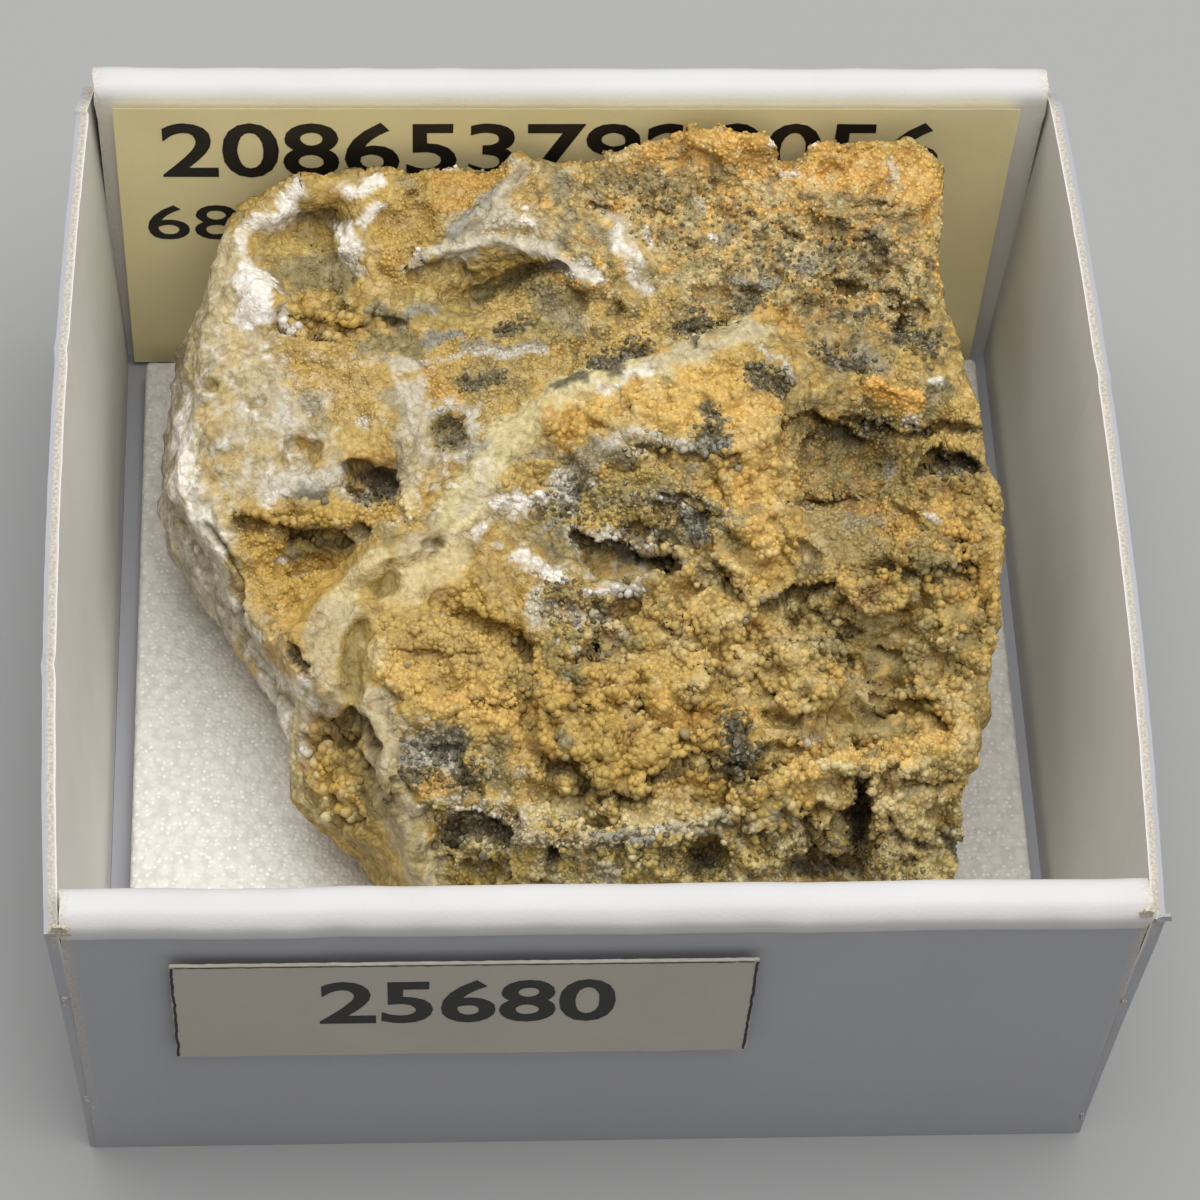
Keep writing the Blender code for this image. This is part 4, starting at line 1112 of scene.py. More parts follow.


# Slits, ridges and the lumps of the crust, moved in along the listed lines.
def carve(mesh):
    points = coordinates(mesh)
    facing = normals(mesh)
    across, down, square = cast(points, facing)
    visible = soft((square + 0.1) / 0.3)
    across = across + stone["ragged"] * field(points, 1.1 * mm, 2)
    down = down + stone["ragged"] * field(points, 1.1 * mm, 2, 17.0)
    north = np.array([0.0, 0.8, 0.3])   # up the slope, the way slits are undercut
    shift = np.zeros_like(points)
    cut = np.zeros(len(points))
    for halfWidth, depth, undercut, *line in slits:
        near = soft(1.25 - strokeDistance(across, down, line) / halfWidth) * visible
        shift -= near[:, None] * (facing * depth - north * undercut) * mm
        cut += near * depth
    for halfWidth, height, *line in ridges:
        near = np.exp(-(strokeDistance(across, down, line) / halfWidth) ** 2) * visible
        shift += near[:, None] * facing * height * mm
    points = points + shift
    moveTo(mesh, points)
    facing = normals(mesh)
    share, _, high = zoneMap(points, facing, ballZones)
    bend = points + 0.35 * mm * np.column_stack([field(points, 1.0 * mm, 2, s) for s in (3.0, 13.0, 23.0)])
    clumps = mounds(bend, stone["clump"])
    lobes = mounds(bend, stone["lobe"], 8.0)
    lumps = field(points, 0.9 * mm, 3, 5.0)
    grains = field(points, 0.35 * mm, 2, 9.0)
    facets = domes(points, 0.45 * mm, 31.0) - 0.6
    crusted = np.clip(share * high / 0.45, 0.0, 1.2)
    _, _, square = cast(points, facing)
    broken = within(clumpZones, across, down) * soft(1.2 - 2.0 * cut) * soft((square - 0.25) / 0.3)
    gaps = soft((field(bend, stone["clump"], 3, 51.0) - 0.08) / 0.22)
    rough = crusted * (stone["clumpDepth"] * clumps + stone["lobeDepth"] * lobes)
    rough -= broken * stone["hollowDepth"] * gaps
    hollow = np.clip(broken * 0.8 * gaps - crusted * (0.7 * clumps + 0.3 * lobes), 0.0, 1.0)
    mark(mesh, "hollow", hollow)
    bare = within(bareZones, across, down) * visible
    rough += stone["lumpDepth"] * lumps * (1 - 0.35 * bare)
    rough += (stone["grainDepth"] * grains + stone["facetDepth"] * facets) * visible * (1 - 0.6 * bare)
    moveTo(mesh, points + facing * rough[:, None])


# Colour of the stone at each place, from the strokes, ragged at their edges.
def tints(points, facing, grainy=1.0):
    across, down, square = cast(points, facing)
    coarse = field(points, 1.4 * mm, 3, 21.0)
    fine = field(points, 0.4 * mm, 3, 33.0)
    across = across + stone["blur"] * field(points, 1.4 * mm, 3, 41.0)
    down = down + stone["blur"] * field(points, 1.4 * mm, 3, 47.0)
    colour = np.tile(np.array(palette["ochre"][:3]), (len(points), 1))

    def lay(name, share):
        nonlocal colour
        colour = colour * (1 - share[:, None]) + np.array(palette[name][:3]) * share[:, None]

    lay("sand", 0.6 * soft(0.5 + 0.9 * coarse))
    hidden = (square < turnedAway) | (facing[:, 1] > 0.7)
    lay("sand", np.where(hidden, 0.5, 0.0))
    lay("brownGrey", np.where(hidden, soft(0.4 + coarse), 0.0))

    def stroke(line, halfWidth, reach, fade):
        near = soft((reach - strokeDistance(across, down, line) / halfWidth) / fade)
        return np.where(hidden, 0.0, near)

    for name, halfWidth, strength, *line in ground:
        lay(name, strength * stroke(line, halfWidth, 1.12 + 0.3 * coarse + 0.15 * fine, 0.35))
    octaves, softness = (3, 0.2) if grainy == 1 else (2, 0.3)
    for k, (name, size, cover, strength, halfWidth, *line) in enumerate(mottles):
        spots = field(points, size * mm, octaves, 71.0 + 3.7 * k) + cover
        lay(name, strength * stroke(line, halfWidth, 1.15, 0.4) * soft((spots - 0.5) / softness + 0.5))
    for name, halfWidth, strength, *line in patches:
        lay(name, strength * stroke(line, halfWidth, 1.15 + 0.5 * coarse + 0.5 * grainy * fine, 0.55))
    # Painted shadow laid into the slits and holes, darker where they are deeper.
    for halfWidth, depth, undercut, *line in slits:
        lay("paintedShadow", min(0.75, 0.6 * depth) * stroke(line, halfWidth, 1.2, 1.0))
    return colour


# Painted shade, browner and darker in the hollows, and a little painted light on the crowns.
def shaded(tint, hollow):
    deep = soft(hollow)[:, None]
    return tint * (1.1 - deep * np.array([0.32, 0.37, 0.46]))


def stoneFinish():
    look = Finish("stone_crust")
    tint = look.attribute("tint", "Color")
    grit = look.attribute("grit")
    bend = look.grain(0.5 * mm, 2.0, 0.5, "Color")
    place = look.node("ShaderNodeVectorMath", {"operation": "MULTIPLY_ADD"}, {
        0: bend, 1: (0.2 * mm, 0.2 * mm, 0.2 * mm), 2: look.where()})
    speck = look.grain(0.3 * mm, 4.0, 0.7)
    coarse = look.cells(0.3 * mm, place).ramp(0.85, 0.15)
    fine = look.cells(0.16 * mm, place).ramp(0.85, 0.15)
    shade = look.brightness(look.cells(0.3 * mm, place, output="Color"))
    darker = look.mix(1.0, tint, stone["soot"], "MULTIPLY")
    lighter = look.mix(0.3, tint, paint(255, 240, 204))
    joint = (1 - coarse) * 0.6 + (1 - fine) * 0.25
    body = look.mix(joint * (grit * 0.75 + 0.1), tint, darker)
    body = look.mix(shade.ramp(0.55, 0.9) * grit * 0.45, body, lighter)
    body = look.mix(shade.ramp(0.4, 0.1) * grit * 0.5, body, darker)
    body = look.mix(speck.ramp(0.5, 0.32) * 0.5, body, darker)
    height = (coarse * 0.6 + fine * 0.3) * (grit * 0.9 + 0.1) + speck * 0.35
    return look.finish(Base_Color=body, Roughness=shade * 0.3 + 0.5, Normal=look.bump(height, 0.1 * mm))


# The same stone on the strewn pieces, without the cells that they have as shapes.
def grainFinish():
    look = Finish("crust_grain", 0.65)
    tint = look.attribute("tint", "Color")
    speck = look.grain(0.3 * mm, 3.0, 0.7)
    darker = look.mix(1.0, tint, stone["soot"], "MULTIPLY")
    body = look.mix(speck.ramp(0.5, 0.32) * 0.5, tint, darker)
    return look.finish(Base_Color=body, Normal=look.bump(speck, 0.035 * mm))


def crystalFinish():
    look = Finish("grey_crystal")
    tint = look.attribute("tint", "Color")
    crumb = look.brightness(look.cells(0.12 * mm, output="Color"))
    body = look.mix(crumb.ramp(0.5, 1.0) * 0.5, tint, paint(150, 148, 140))
    return look.finish(Base_Color=body, Metallic=0.45, Roughness=crumb * 0.35 + 0.22)


# Closed mesh round a few points: its corners and triangles.
def hull(points):
    mesh = bpy.data.meshes.new("hull")
    mesh.from_pydata(points, [], [])
    obj = linked("hull", mesh)
    edit(obj)
    bpy.ops.mesh.convex_hull()
    bpy.ops.mesh.quads_convert_to_tris()
    bpy.ops.mesh.normals_make_consistent(inside=False)
    editDone()
    corners = coordinates(mesh)
    triangles = numbers(mesh.loops, "vertex_index", kind=int).reshape(-1, 3)
    bpy.data.objects.remove(obj)
    bpy.data.meshes.remove(mesh)
    return corners, triangles


# Ball of unit diameter, round where it shows and pointed where it is sunk, from rings at the given angles
def ballShape(*rings):
    places = [(0.0, 0.0, 0.5)]
    for polar, count in rings:
        for k in range(count):
            turn = 2 * math.pi * (k + 0.3 * count / 10) / count
            flat = 0.5 * math.sin(math.radians(polar))
            places.append((flat * math.cos(turn), flat * math.sin(turn), 0.5 * math.cos(math.radians(polar))))
    places.append((0.0, 0.0, -0.45))
    return hull(places)


# Places for balls on the seen side of the stone, none closer than their size allows.
def scatter(mesh, zones, tries, closeness):
    mesh.calc_loop_triangles()
    corners = numbers(mesh.loop_triangles, "vertices", 3, int)
    points = coordinates(mesh)
    facing = normals(mesh)
    share, _, _ = zoneMap(points, facing, zones)
    hollow = numbers(mesh.attributes["hollow"].data, "value")
    a, b, c = points[corners[:, 0]], points[corners[:, 1]], points[corners[:, 2]]
    area = np.linalg.norm(np.cross(b - a, c - a), axis=1) / 2
    weight = area * share[corners].mean(axis=1)
    picked = dice.choice(len(corners), tries, p=weight / weight.sum())
    u, v = dice.random(tries), dice.random(tries)
    over = u + v > 1
    u, v = np.where(over, 1 - u, u)[:, None], np.where(over, 1 - v, v)[:, None]
    places = a[picked] + u * (b - a)[picked] + v * (c - a)[picked]
    outward = facing[corners[picked, 0]]
    share, low, high = zoneMap(places, outward, zones)
    size = (low + (high - low) * dice.random(tries) ** 1.8) * mm
    spread = closeness / np.clip(share, 0.3, 1.0) ** 0.5
    order = np.argsort(-size * (0.7 + 0.6 * dice.random(tries)))
    cell = 0.55 * mm
    grid = {}
    chosen = []
    rows = np.column_stack([places, size * spread]).tolist()
    keys = (places // cell).astype(int).tolist()
    around = [(x, y, z) for x in (-1, 0, 1) for y in (-1, 0, 1) for z in (-1, 0, 1)]
    for k in order:
        px, py, pz, r = rows[k]
        kx, ky, kz = keys[k]
        near = (q for dx, dy, dz in around for q in grid.get((kx + dx, ky + dy, kz + dz), ()))
        if all((px - q[0]) ** 2 + (py - q[1]) ** 2 + (pz - q[2]) ** 2 > (r + q[3]) ** 2 for q in near):
            grid.setdefault((kx, ky, kz), []).append(rows[k])
            chosen.append(k)
    return places[chosen], outward[chosen], size[chosen], hollow[corners[picked, 0]][chosen]


# Copies of one small shape, each turned to its place, as meshes below the triangle limit.
def strewn(mesh, crust):
    name = crust["name"]
    shape, triangles = ballShape(*crust["rings"])
    places, outward, sizes, hollow = scatter(mesh, crust["zones"], crust["tries"], crust["closeness"])
    tint = shaded(tints(places, outward, 0.4), hollow)
    across, down, _ = cast(places, outward)
    fused = 0.07 * within(fusedZones, across, down)   # sunk deeper where the crust is one sheet
    if name == "grey_crystals":
        grey = np.array(palette["darkGrey"][:3]) * (0.5 + 1.1 * dice.random((len(places), 1)))
        tint = 0.3 * tint + 0.7 * grey
    crown = np.clip(shape[:, 2] / 0.5, 0.0, 1.0)   # 1 on top of each piece, 0 from its middle down
    pieces = []
    for start in range(0, len(places), crust["limit"]):
        chosen = slice(start, start + crust["limit"])
        count = len(places[chosen])
        up = normed(outward[chosen] + 0.25 * dice.normal(size=(count, 3)))
        side = normed(np.cross(up, dice.normal(size=(count, 3))))
        axes = np.stack([side, np.cross(up, side), up], axis=1)
        form = shape[None] * (1 + crust["rough"] * dice.normal(size=(count, len(shape), 1)))
        form = form * (0.9 + 0.2 * dice.random((count, 1, 3)))
        verts = form @ axes * sizes[chosen][:, None, None]
        lift = crust["sink"] - fused[chosen][:, None] + 0.07 * dice.normal(size=(count, 1))
        lift = lift * sizes[chosen][:, None]
        verts = verts + (places[chosen] + outward[chosen] * lift)[:, None]
        faces = triangles[None] + (np.arange(count) * len(shape))[:, None, None]
        piece = bpy.data.meshes.new(name)
        piece.from_pydata(verts.reshape(-1, 3).tolist(), [], faces.reshape(-1, 3).tolist())
        shade = tint[chosen] * (0.97 + 0.06 * dice.random((count, 1)))
        shade = shade * (1 + dice.normal(size=(count, 1)) * np.array([0.002, 0.006, 0.014]))
        # Painted shade and light on each piece: darker from its middle down, a little lighter on top.
        litAndShaded = shade[:, None, :] * (0.9 + 0.12 * crown[None, :, None])
        tintMesh(piece, np.clip(litAndShaded, 0, 1).reshape(-1, 3))
        pieces.append(linked(name, piece))
    print(name, len(places))
    return pieces


# What is strewn: rings of corners (angle from the top, count), places tried, spacing and sink as shares of a
# piece's size, roughness, and pieces in one mesh
crusts = [
    {"name": "crust_balls", "zones": ballZones, "rings": ((42, 6), (86, 10)), "tries": 120000,
     "closeness": 0.28, "rough": 0.09, "sink": -0.34, "limit": 6000},
    {"name": "crust_crumbs", "zones": grainZones, "rings": ((40, 4), (86, 6)), "tries": 90000,
     "closeness": 0.4, "rough": 0.16, "sink": -0.28, "limit": 9000},
    {"name": "grey_crystals", "zones": crystalZones, "rings": ((50, 4), (96, 5)), "tries": 16000,
     "closeness": 0.34, "rough": 0.14, "sink": -0.12, "limit": 12000},
]


def makeStone():
    blank = stoneBlank()
    mesh = blank.data
    carve(mesh)
    points, facing = coordinates(mesh), normals(mesh)
    share, _, _ = zoneMap(points, facing, ballZones)
    hollow = numbers(mesh.attributes["hollow"].data, "value")
    # The body's tint is painted up to 8% darker where balls cover it, painted shade between the balls.
    tintMesh(mesh, shaded(tints(points, facing), hollow) * (1 - 0.08 * share)[:, None])
    across, down, _ = cast(points, facing)
    mark(mesh, "grit", (1 - 0.45 * within(bareZones, across, down)) * (1 - 0.6 * share))
    balls, crumbs, chips = [strewn(mesh, crust) for crust in crusts]
    settle(blank, "stone_body", stoneFinish(), "smithsonite_specimen")
    grain = grainFinish()
    for k, piece in enumerate(balls):
        settle(piece, "crust_balls_%d" % (k + 1), grain, None)
    for k, piece in enumerate(crumbs):
        settle(piece, "crust_crumbs_%d" % (k + 1), grain, None)
    grey = crystalFinish()
    for piece in chips:
        settle(piece, "grey_crystals", grey, None, smooth=False)
    mesh.calc_loop_triangles()
    print("stone made, triangles", len(mesh.loop_triangles))


makeStone()


# The card tray: one sheet, folded up and rolled over at front and back
tray = {
    "halfFloor": 19.45 * mm,
    "depth": 39.5 * mm,
    "wallHeight": 17.4 * mm,
    "card": 0.5 * mm,
    "cornerLean": 0.55 * mm,
    "bulge": 0.6 * mm,
    "foldHalf": 19.2 * mm,
    "foldOuter": 19.8 * mm,
    "foldInner": 18.15 * mm,
    "foldHeight": 18.2 * mm,
    "foldRound": 0.65 * mm,
    # The outer faces' white is the card's white painted darker, painted shade; the inner white is its own
    "white": paint(168, 169, 174),
    "inner": paint(232, 230, 226),
    "core": paint(228, 216, 188),
    "lip": 0.1 * mm,
    "lipEnds": (0.8, 0.95, 1.1, 1.25, 1.4, 1.7),   # cuts below the top that shape the lip, in mm
    "foldLean": 0.24 * mm,
    "cornerDrop": 0.7 * mm,
    "nicks": [(-1, -8.5, 0.18), (-1, 6.0, 0.14), (1, 4.5, 0.16), (-1, 18.2, 0.3)],   # side, place, depth
}


def cardFinish():
    look = Finish("white_card")
    fibre = look.grain(0.12 * mm)
    cloud = look.grain(6 * mm, 2.0)
    # Painted shade: faces marked inside take the inner white, the rest the darker outer white.
    white = look.mix(look.attribute("inside"), tray["white"], tray["inner"])
    white = look.mix(cloud.ramp(0.35, 0.7) * 0.08, white, paint(150, 148, 144))
    bare = look.mix(fibre.ramp(0.35, 0.65), tray["core"], paint(176, 150, 112))
    return look.finish(Base_Color=look.mix(look.attribute("layer") * 0.85, white, bare),
                       Normal=look.bump(fibre, 0.012 * mm), Roughness=fibre * 0.2 + 0.5)


def sideWall(side):
    half, card = tray["halfFloor"], tray["card"]
    wall = block((half - card, -tray["depth"] / 2, 0), (half, tray["depth"] / 2, tray["wallHeight"]))
    cutAcross(wall, 1, 130)
    cutAcross(wall, 2, 9)
    cutAcross(wall, 0, 3)
    mesh = wall.data
    points = coordinates(mesh)
    into = np.abs(points[:, 0] - (half - card / 2)) / (card / 2)
    top = points[:, 2] > tray["wallHeight"] - 0.01 * mm
    mark(mesh, "layer", np.where(top & (into < 0.5), 0.6, 0.0))
    # The inner face takes the card's own white; the outer face and top take the painted shade.
    mark(mesh, "inside", np.where(points[:, 0] < half - 0.9 * card, 1.0, 0.0))
    share = points[:, 2] / tray["wallHeight"]
    bow = tray["cornerLean"] + tray["bulge"] * (1 - (2 * points[:, 1] / tray["depth"]) ** 2)
    points[:, 0] += bow * share ** 1.3
    ragged = field(points, 0.9 * mm, 3, 4.0 + side)
    points[:, 0] += 0.02 * mm * ragged * share ** 6
    points[:, 2] += np.where(top, 0.03 * mm * field(points, 0.6 * mm, 3, 14.0 + side), 0.0)
    back = np.exp(-((points[:, 1] - tray["depth"] / 2) / (0.9 * mm)) ** 2)
    points[:, 2] -= back * tray["cornerDrop"] * share ** 8
    for nickSide, along, depth in tray["nicks"]:
        if nickSide == side:
            near = np.exp(-((points[:, 1] - along * mm) / (0.35 * mm)) ** 2)
            points[:, 0] += 0.5 * depth * mm * near * share ** 8
            points[:, 2] -= np.where(top, depth * mm * near, 0.0)
    front = points[:, 1] < -tray["depth"] / 2 + 0.01 * mm
    points[:, 1] += np.where(front, 0.07 * mm * field(points, 1.2 * mm, 3, 24.0 + side), 0.0)
    points[:, 0] *= side
    moveTo(mesh, points)
    if side < 0:
        faceOutwards(wall)
    return wall


# Front or back wall, double where the card rolls over, open at its ends.
def foldedWall(side):
    near, far = sorted((side * tray["foldInner"], side * tray["foldOuter"]))
    wall = block((-tray["foldHalf"], near, 0), (tray["foldHalf"], far, tray["foldHeight"]))
    height = tray["foldHeight"]
    pick(wall, "FACE", lambda corners: max(abs(c.x - corners[0].x) for c in corners) < tiny)
    bpy.ops.mesh.inset(thickness=0.42 * mm, use_individual=True)
    bpy.ops.mesh.extrude_region_shrink_fatten(
        TRANSFORM_OT_shrink_fatten={"value": -0.9 * mm})
    editDone()
    pick(wall, "EDGE", lambda ends: all(abs(c.z - height) < tiny for c in ends)
         and abs(ends[0].y - ends[1].y) < tiny and abs(ends[0].x) > tray["foldHalf"] - tiny)
    bpy.ops.mesh.bevel(offset=tray["foldRound"], segments=6, affect="EDGES")
    editDone()
    cutAcross(wall, 0, 90)
    for drop in tray["lipEnds"]:
        edit(wall)
        bpy.ops.mesh.bisect(plane_co=(0, 0, height - drop * mm), plane_no=(0, 0, 1))
        editDone()
    mesh = wall.data
    points = coordinates(mesh)
    share = np.clip(points[:, 2] / height, 0, 1)
    ends = np.abs(points[:, 0]) > tray["foldHalf"] - 0.05 * mm
    outer = side * points[:, 1] > tray["foldOuter"] - 0.1 * mm
    inner = side * points[:, 1] < tray["foldInner"] + 0.02 * mm
    # Painted shade: the outer face takes the darker white, the rolled top partly, the inner face none.
    litShare = np.where(inner, 1.0, np.where(points[:, 2] > height - 1.2 * mm, 0.62, 0.0))
    below = (height - points[:, 2]) / mm
    bulge = soft((1.3 - below) / 0.35) * soft(below / 0.5)
    bulge = bulge * (0.8 + 0.5 * field(points * sideways, 1.5 * mm, 2, 19.0))
    points[:, 1] += np.where(outer, side * tray["lip"] * bulge, 0.0)
    wave = field(points * sideways, 5 * mm, 2, 3.0 + side)
    points[:, 1] += 0.1 * mm * wave * share ** 3
    points[:, 0] += tray["foldLean"] * share ** 1.3 * points[:, 0] / tray["foldHalf"]
    points[:, 2] += 0.05 * mm * field(points * sideways, 3 * mm, 2, 8.0 + side) * share ** 3
    points[:, 0] += np.where(ends, 0.1 * mm * field(points, 0.8 * mm, 2, 6.0), 0.0)
    mark(mesh, "layer", np.where(ends & (points[:, 2] > 15 * mm), 0.5, 0.0))
    mark(mesh, "inside", litShare)
    moveTo(mesh, points)
    return wall


# Torn flaps at the front corners: place in mm, size, lean in degrees, bare share
flaps = [
    ((-19.45, -19.8, 17.8), (0.6, 0.12, 0.45), 20, 0.8),
    ((-19.25, -19.83, 17.5), (0.35, 0.1, 0.3), -25, 0.9),
    ((-19.62, -19.78, 12.3), (0.16, 0.12, 0.6), 10, 0.3),
    ((-19.3, -19.78, 4.2), (0.16, 0.12, 0.5), -8, 0.4),
    ((19.25, -19.8, 18.15), (0.4, 0.12, 0.4), 12, 0.8),
    ((19.85, -19.74, 17.65), (0.6, 0.14, 0.3), -14, 0.1),
    ((19.4, -19.78, 11.1), (0.18, 0.12, 0.5), 14, 0.3),
    ((19.32, -19.78, 1.5), (0.16, 0.12, 0.4), -6, 0.3),
]


# A scrap of torn card, ragged all round.
def tornFlap(place, size, lean, bare):
    size = [side * mm for side in size]
    flap = block([-side / 2 for side in size], [side / 2 for side in size])
    cutAcross(flap, 0, 5)
    cutAcross(flap, 2, 5)
    mesh = flap.data
    points = coordinates(mesh)
    stray = np.column_stack([field(points + place[2] * mm, 0.22 * mm, 2, k * 7.0) for k in range(3)])
    points += stray * (0.09 * mm, 0.05 * mm, 0.09 * mm)
    tilt = np.array(Matrix.Rotation(math.radians(lean), 3, "Y"))
    moveTo(mesh, points @ tilt.T + np.array(place) * mm)
    mark(mesh, "layer", np.full(len(points), bare))
    return flap


def makeTray():
    look = cardFinish()
    floor = block((-tray["halfFloor"] + tray["card"], -tray["foldInner"], 0),
                  (tray["halfFloor"] - tray["card"], tray["foldInner"], tray["card"]))
    cutAcross(floor, 0, 12)
    cutAcross(floor, 1, 12)
    settle(floor, "tray_floor", look, "card_tray", smooth=False)
    for side, word in ((-1, "left"), (1, "right")):
        settle(sideWall(side), "tray_%s_wall" % word, look, None, smooth=False)
    for side, word in ((-1, "front"), (1, "back")):
        wall = settle(foldedWall(side), "tray_%s_wall" % word, look, None, smooth=False)
        only(wall)
        bpy.ops.object.shade_smooth_by_angle(angle=math.radians(35))
    for k, flap in enumerate(flaps):
        settle(tornFlap(*flap), "torn_flap_%d" % (k + 1), look, None, smooth=False)
    print("tray made")


makeTray()


# The foam pad, its top all small bubbles
foam = {
    "cuts": 139,
    "bubble": 0.42 * mm,
    "glint": 0.2 * mm,
    "relief": 0.1 * mm,
    "colour": paint(233, 230, 222),
}


def makeFoam():
    low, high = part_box("foam_pad")
    pad = block(low, high)
    pick(pad, "FACE", lambda corners: all(abs(c.z - high[2]) < tiny for c in corners))
    bpy.ops.mesh.subdivide(number_cuts=foam["cuts"])
    editDone()
    mesh = pad.data
    points = coordinates(mesh)
    top = points[:, 2] > high[2] - 0.01 * mm
    bubbles = np.zeros(len(points))
    bubbles[top] = domes(points[top], foam["bubble"]) - 1.0
    bubbles[top] += 0.5 * field(points[top], 1.5 * mm, 2)
    points[:, 2] += foam["relief"] * bubbles
    moveTo(mesh, points)
    applied(pad, "BEVEL", width=0.25 * mm, segments=3, limit_method="ANGLE", angle_limit=math.radians(60))
    look = Finish("white_foam")
    cell = look.brightness(look.cells(foam["glint"], output="Color"))
    spot = look.cells(foam["glint"])
    wide = look.cells(foam["bubble"])
    # Painted glints: small spots painted near white in the colour, besides being made glossier.
    glint = cell.ramp(0.4, 0.8) * spot.ramp(0.5, 0.2)
    body = look.mix(wide.ramp(0.3, 0.8) * 0.6, foam["colour"], paint(208, 204, 195))
    body = look.mix(glint, body, paint(253, 252, 250))
    material = look.finish(Base_Color=body, Roughness=0.6 - 0.4 * glint,
                           Normal=look.bump(spot, 0.05 * mm))
    settle(pad, "foam_pad_soft", material, "foam_pad")
    print("foam pad made")


makeFoam()


# Label card and number sticker, with plain digits
label = {
    "slant": 0.45 * mm,   # the top edge is cut on a slant
    "paper": paint(255, 243, 190),
    "ink": paint(28, 24, 20),
    "lines": [   # digits, height of a digit, width of the line, left end, foot, boldness, in mm
        ("2086537928056", 3.5, 32.0, -16.8, 13.6, 0.07),
        ("68 205 793 862 057.", 2.3, 33.2, -17.6, 9.5, 0.02),
    ],
}
sticker = {
    "paper": paint(184, 178, 165),
    "ink": paint(24, 22, 20),
    "lines": [("25680", 3.3, 10.8, -10.35, 11.1, 0.09)],
    "rule": 0.1 * mm,          # width of the line at each end
    "edgeLine": 0.06 * mm,     # height of the worn line along the top
}


# A line of digits standing on a card that faces front.
def digits(name, text, tall, wide, left, foot, bold, depth, ink, slotName):
    bpy.ops.object.select_all(action="DESELECT")
    bpy.ops.object.text_add()
    line = bpy.context.object
    line.data.body = text
    line.data.size = 1.37 * tall * mm
    line.data.offset = bold * mm
    line.data.extrude = 0.015 * mm
    line.data.resolution_u = 4
    bpy.ops.object.convert(target="MESH")
    points = coordinates(line.data)
    low, high = points.min(axis=0), points.max(axis=0)
    across = (points[:, 0] - low[0]) / (high[0] - low[0]) * wide * mm + left * mm
    up = (points[:, 1] - low[1]) / (high[1] - low[1]) * tall * mm + foot * mm
    wobble = 0.03 * mm * field(np.column_stack([across, 0 * across, up]), 0.5 * mm, 2, tall)
    moveTo(line.data, np.column_stack([across + wobble, depth - points[:, 2], up + wobble]))
    applied(line, "WELD", merge_threshold=tiny)
    faceOutwards(line)
    settle(line, name, ink, None, smooth=False)


def paperFinish(name, colour, shade):
    look = Finish(name, 0.7)
    fibre = look.grain(0.15 * mm)
    cloud = look.grain(4 * mm)
    share = cloud.ramp(0.35, 0.7) * 0.4 + fibre.ramp(0.4, 0.7) * 0.15
    return look.finish(Base_Color=look.mix(share, colour, shade), Normal=look.bump(fibre, 0.01 * mm))


def inkFinish(name, colour):
    look = Finish(name, 0.55)
    worn = look.grain(0.25 * mm, 2.0)
    return look.finish(Base_Color=look.mix(worn.ramp(0.55, 0.75) * 0.25, colour, paint(70, 62, 52)))


def makeLabel():
    low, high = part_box("label_card")
    card = block(low, high)
    cutAcross(card, 0, 40)
    cutAcross(card, 2, 12)
    mesh = card.data
    points = coordinates(mesh)
    edge = np.abs(points[:, 2] - high[2]) < tiny
    points[:, 2] += np.where(edge, 0.03 * mm * field(points * sideways, 1.0 * mm, 2), 0.0)
    points[:, 2] -= np.where(edge & (points[:, 1] > low[1] + 10 * tiny), label["slant"], 0.0)
    moveTo(mesh, points)
    applied(card, "BEVEL", width=0.04 * mm, segments=2, limit_method="ANGLE", angle_limit=math.radians(60))
    settle(card, "label_card_paper", paperFinish("yellow_card", label["paper"], paint(245, 229, 170)),
           "label_card", smooth=False)
    ink = inkFinish("label_ink", label["ink"])
    for k, line in enumerate(label["lines"]):
        digits("label_digits_%d" % (k + 1), *line, low[1] - 0.005 * mm, ink, "yellow_card")
    print("label made")


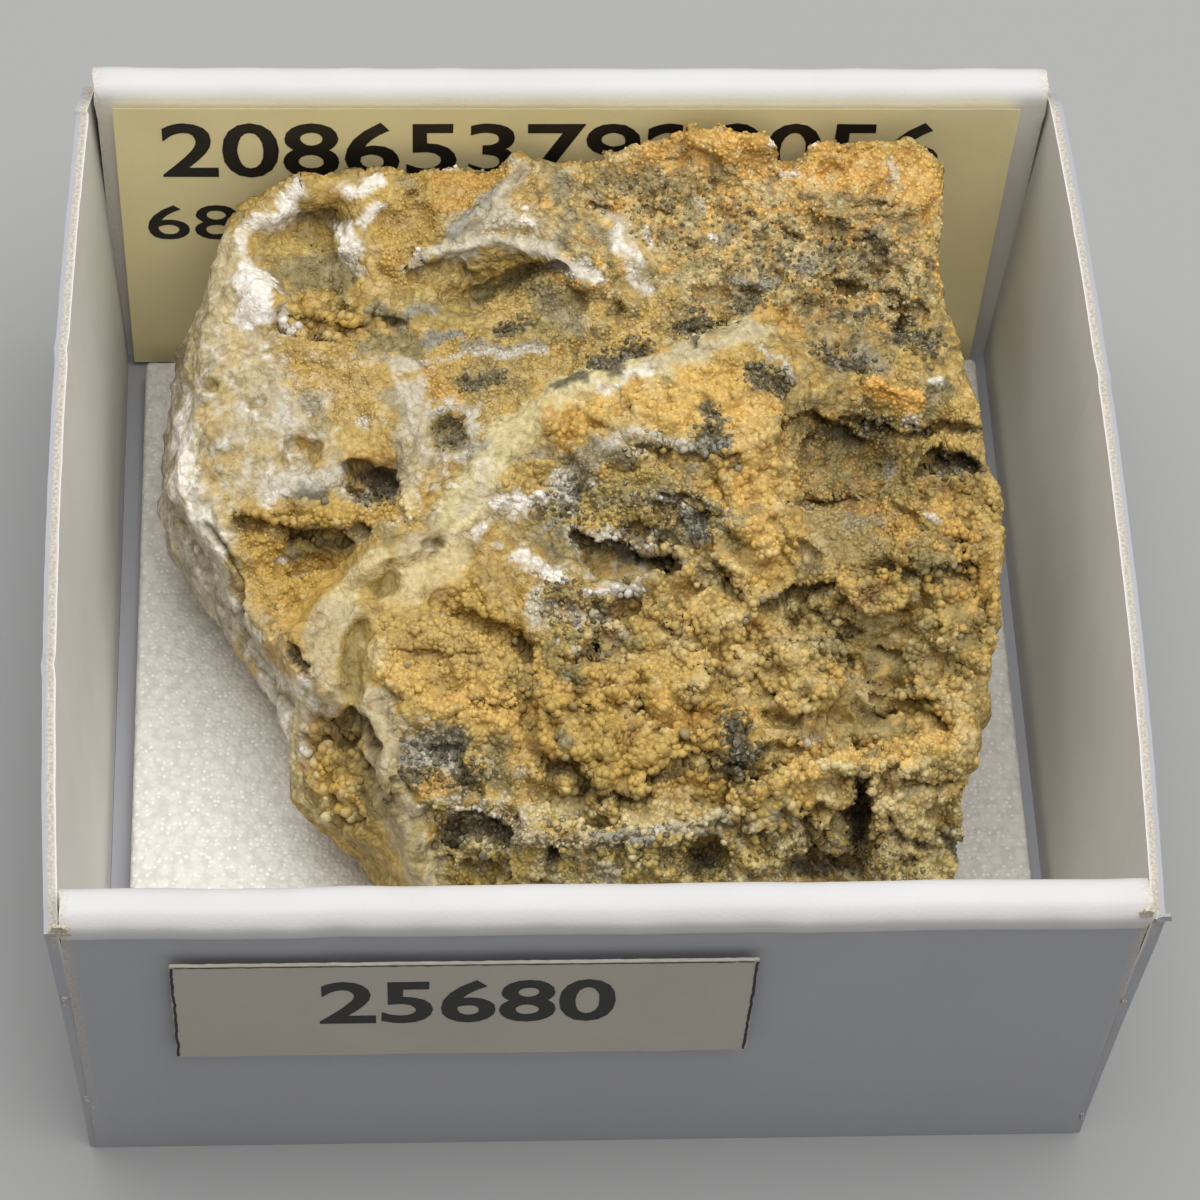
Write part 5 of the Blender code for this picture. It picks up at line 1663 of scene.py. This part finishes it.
def makeSticker():
    low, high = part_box("number_sticker")
    card = block(low, high)
    cutAcross(card, 0, 90)
    cutAcross(card, 2, 24)
    mesh = card.data
    points = coordinates(mesh)
    reach = np.minimum(points - np.array(low), np.array(high) - points)
    rim = np.minimum(reach[:, 0], reach[:, 2]) < 10 * tiny
    for axis in (0, 2):
        points[:, axis] += np.where(rim, 0.05 * mm * field(points, 0.4 * mm, 3, 5.0 * axis), 0.0)
    moveTo(mesh, points)
    settle(card, "number_sticker_paper", paperFinish("cream_paper", sticker["paper"], paint(175, 168, 154)),
           "number_sticker", smooth=False)
    ink = inkFinish("sticker_ink", sticker["ink"])
    for k, line in enumerate(sticker["lines"]):
        digits("sticker_digits_%d" % (k + 1), *line, low[1] - 0.005 * mm, ink, "cream_paper")
    half = sticker["rule"] / 2
    thin = sticker["edgeLine"]
    for k, end in enumerate((low[0] + 1.6 * half, high[0] - 1.6 * half)):
        rule = block((end - half, low[1] - 0.02 * mm, low[2] + 0.1 * mm),
                     (end + half, low[1] + 0.02 * mm, high[2] - 0.1 * mm))
        cutAcross(rule, 2, 40)
        points = coordinates(rule.data)
        points[:, 0] += 0.04 * mm * field(points, 0.4 * mm, 3, 9.0 + k)
        moveTo(rule.data, points)
        settle(rule, "sticker_rule_%d" % (k + 1), ink, None, smooth=False)
    rule = block((low[0] + 0.2 * mm, low[1] - 0.01 * mm, high[2] - 2 * thin),
                 (high[0] - 0.2 * mm, low[1] + 0.02 * mm, high[2] - thin))
    cutAcross(rule, 0, 160)
    points = coordinates(rule.data)
    points[:, 1] += 0.02 * mm * field(points * sideways, 0.3 * mm, 3, 2.0)   # worn away in places
    points[:, 2] += 0.02 * mm * field(points * sideways, 0.5 * mm, 3, 6.0)
    moveTo(rule.data, points)
    settle(rule, "sticker_rule_3", ink, None, smooth=False)
    print("sticker made")


makeLabel()
makeSticker()


# Plain studio
studio = {
    "floorHalf": 0.6,
    "floorColour": paint(164, 164, 163),
    "sky": 0.31,
    "lampPlace": (0.02, 0.02, 0.28),
    "lampSize": (0.4, 0.27),
    "lampPower": 1.08,
    "lampAim": (0.0, 0.0, 0.01),
}


def makeLamp():
    data = bpy.data.lights.new("key", "AREA")
    data.shape = "RECTANGLE"
    data.size, data.size_y = studio["lampSize"]
    data.energy = studio["lampPower"]
    lamp = linked("key", data)
    lamp.location = studio["lampPlace"]
    lamp.rotation_euler = (Vector(studio["lampAim"]) - lamp.location).to_track_quat("-Z", "Y").to_euler()


def makeStudio():
    bpy.ops.object.select_all(action="DESELECT")
    bpy.ops.mesh.primitive_plane_add(size=2 * studio["floorHalf"], location=(0, 0, -0.02 * mm))
    floor = bpy.context.object
    floor.name = "floor"
    look = Finish("floor_paper", 0.9)
    soften = look.grain(0.05)
    tone = look.mix(soften * 0.1, studio["floorColour"], paint(156, 156, 154))
    floor.data.materials.append(look.finish(Base_Color=tone))
    makeLamp()
    world = bpy.data.worlds.new("studio")
    bpy.context.scene.world = world
    world.use_nodes = True
    world.node_tree.nodes["Background"].inputs["Color"].default_value = (1, 1, 1, 1)
    world.node_tree.nodes["Background"].inputs["Strength"].default_value = studio["sky"]
    bpy.context.scene.view_settings.view_transform = "Standard"


makeStudio()
print("studio made")
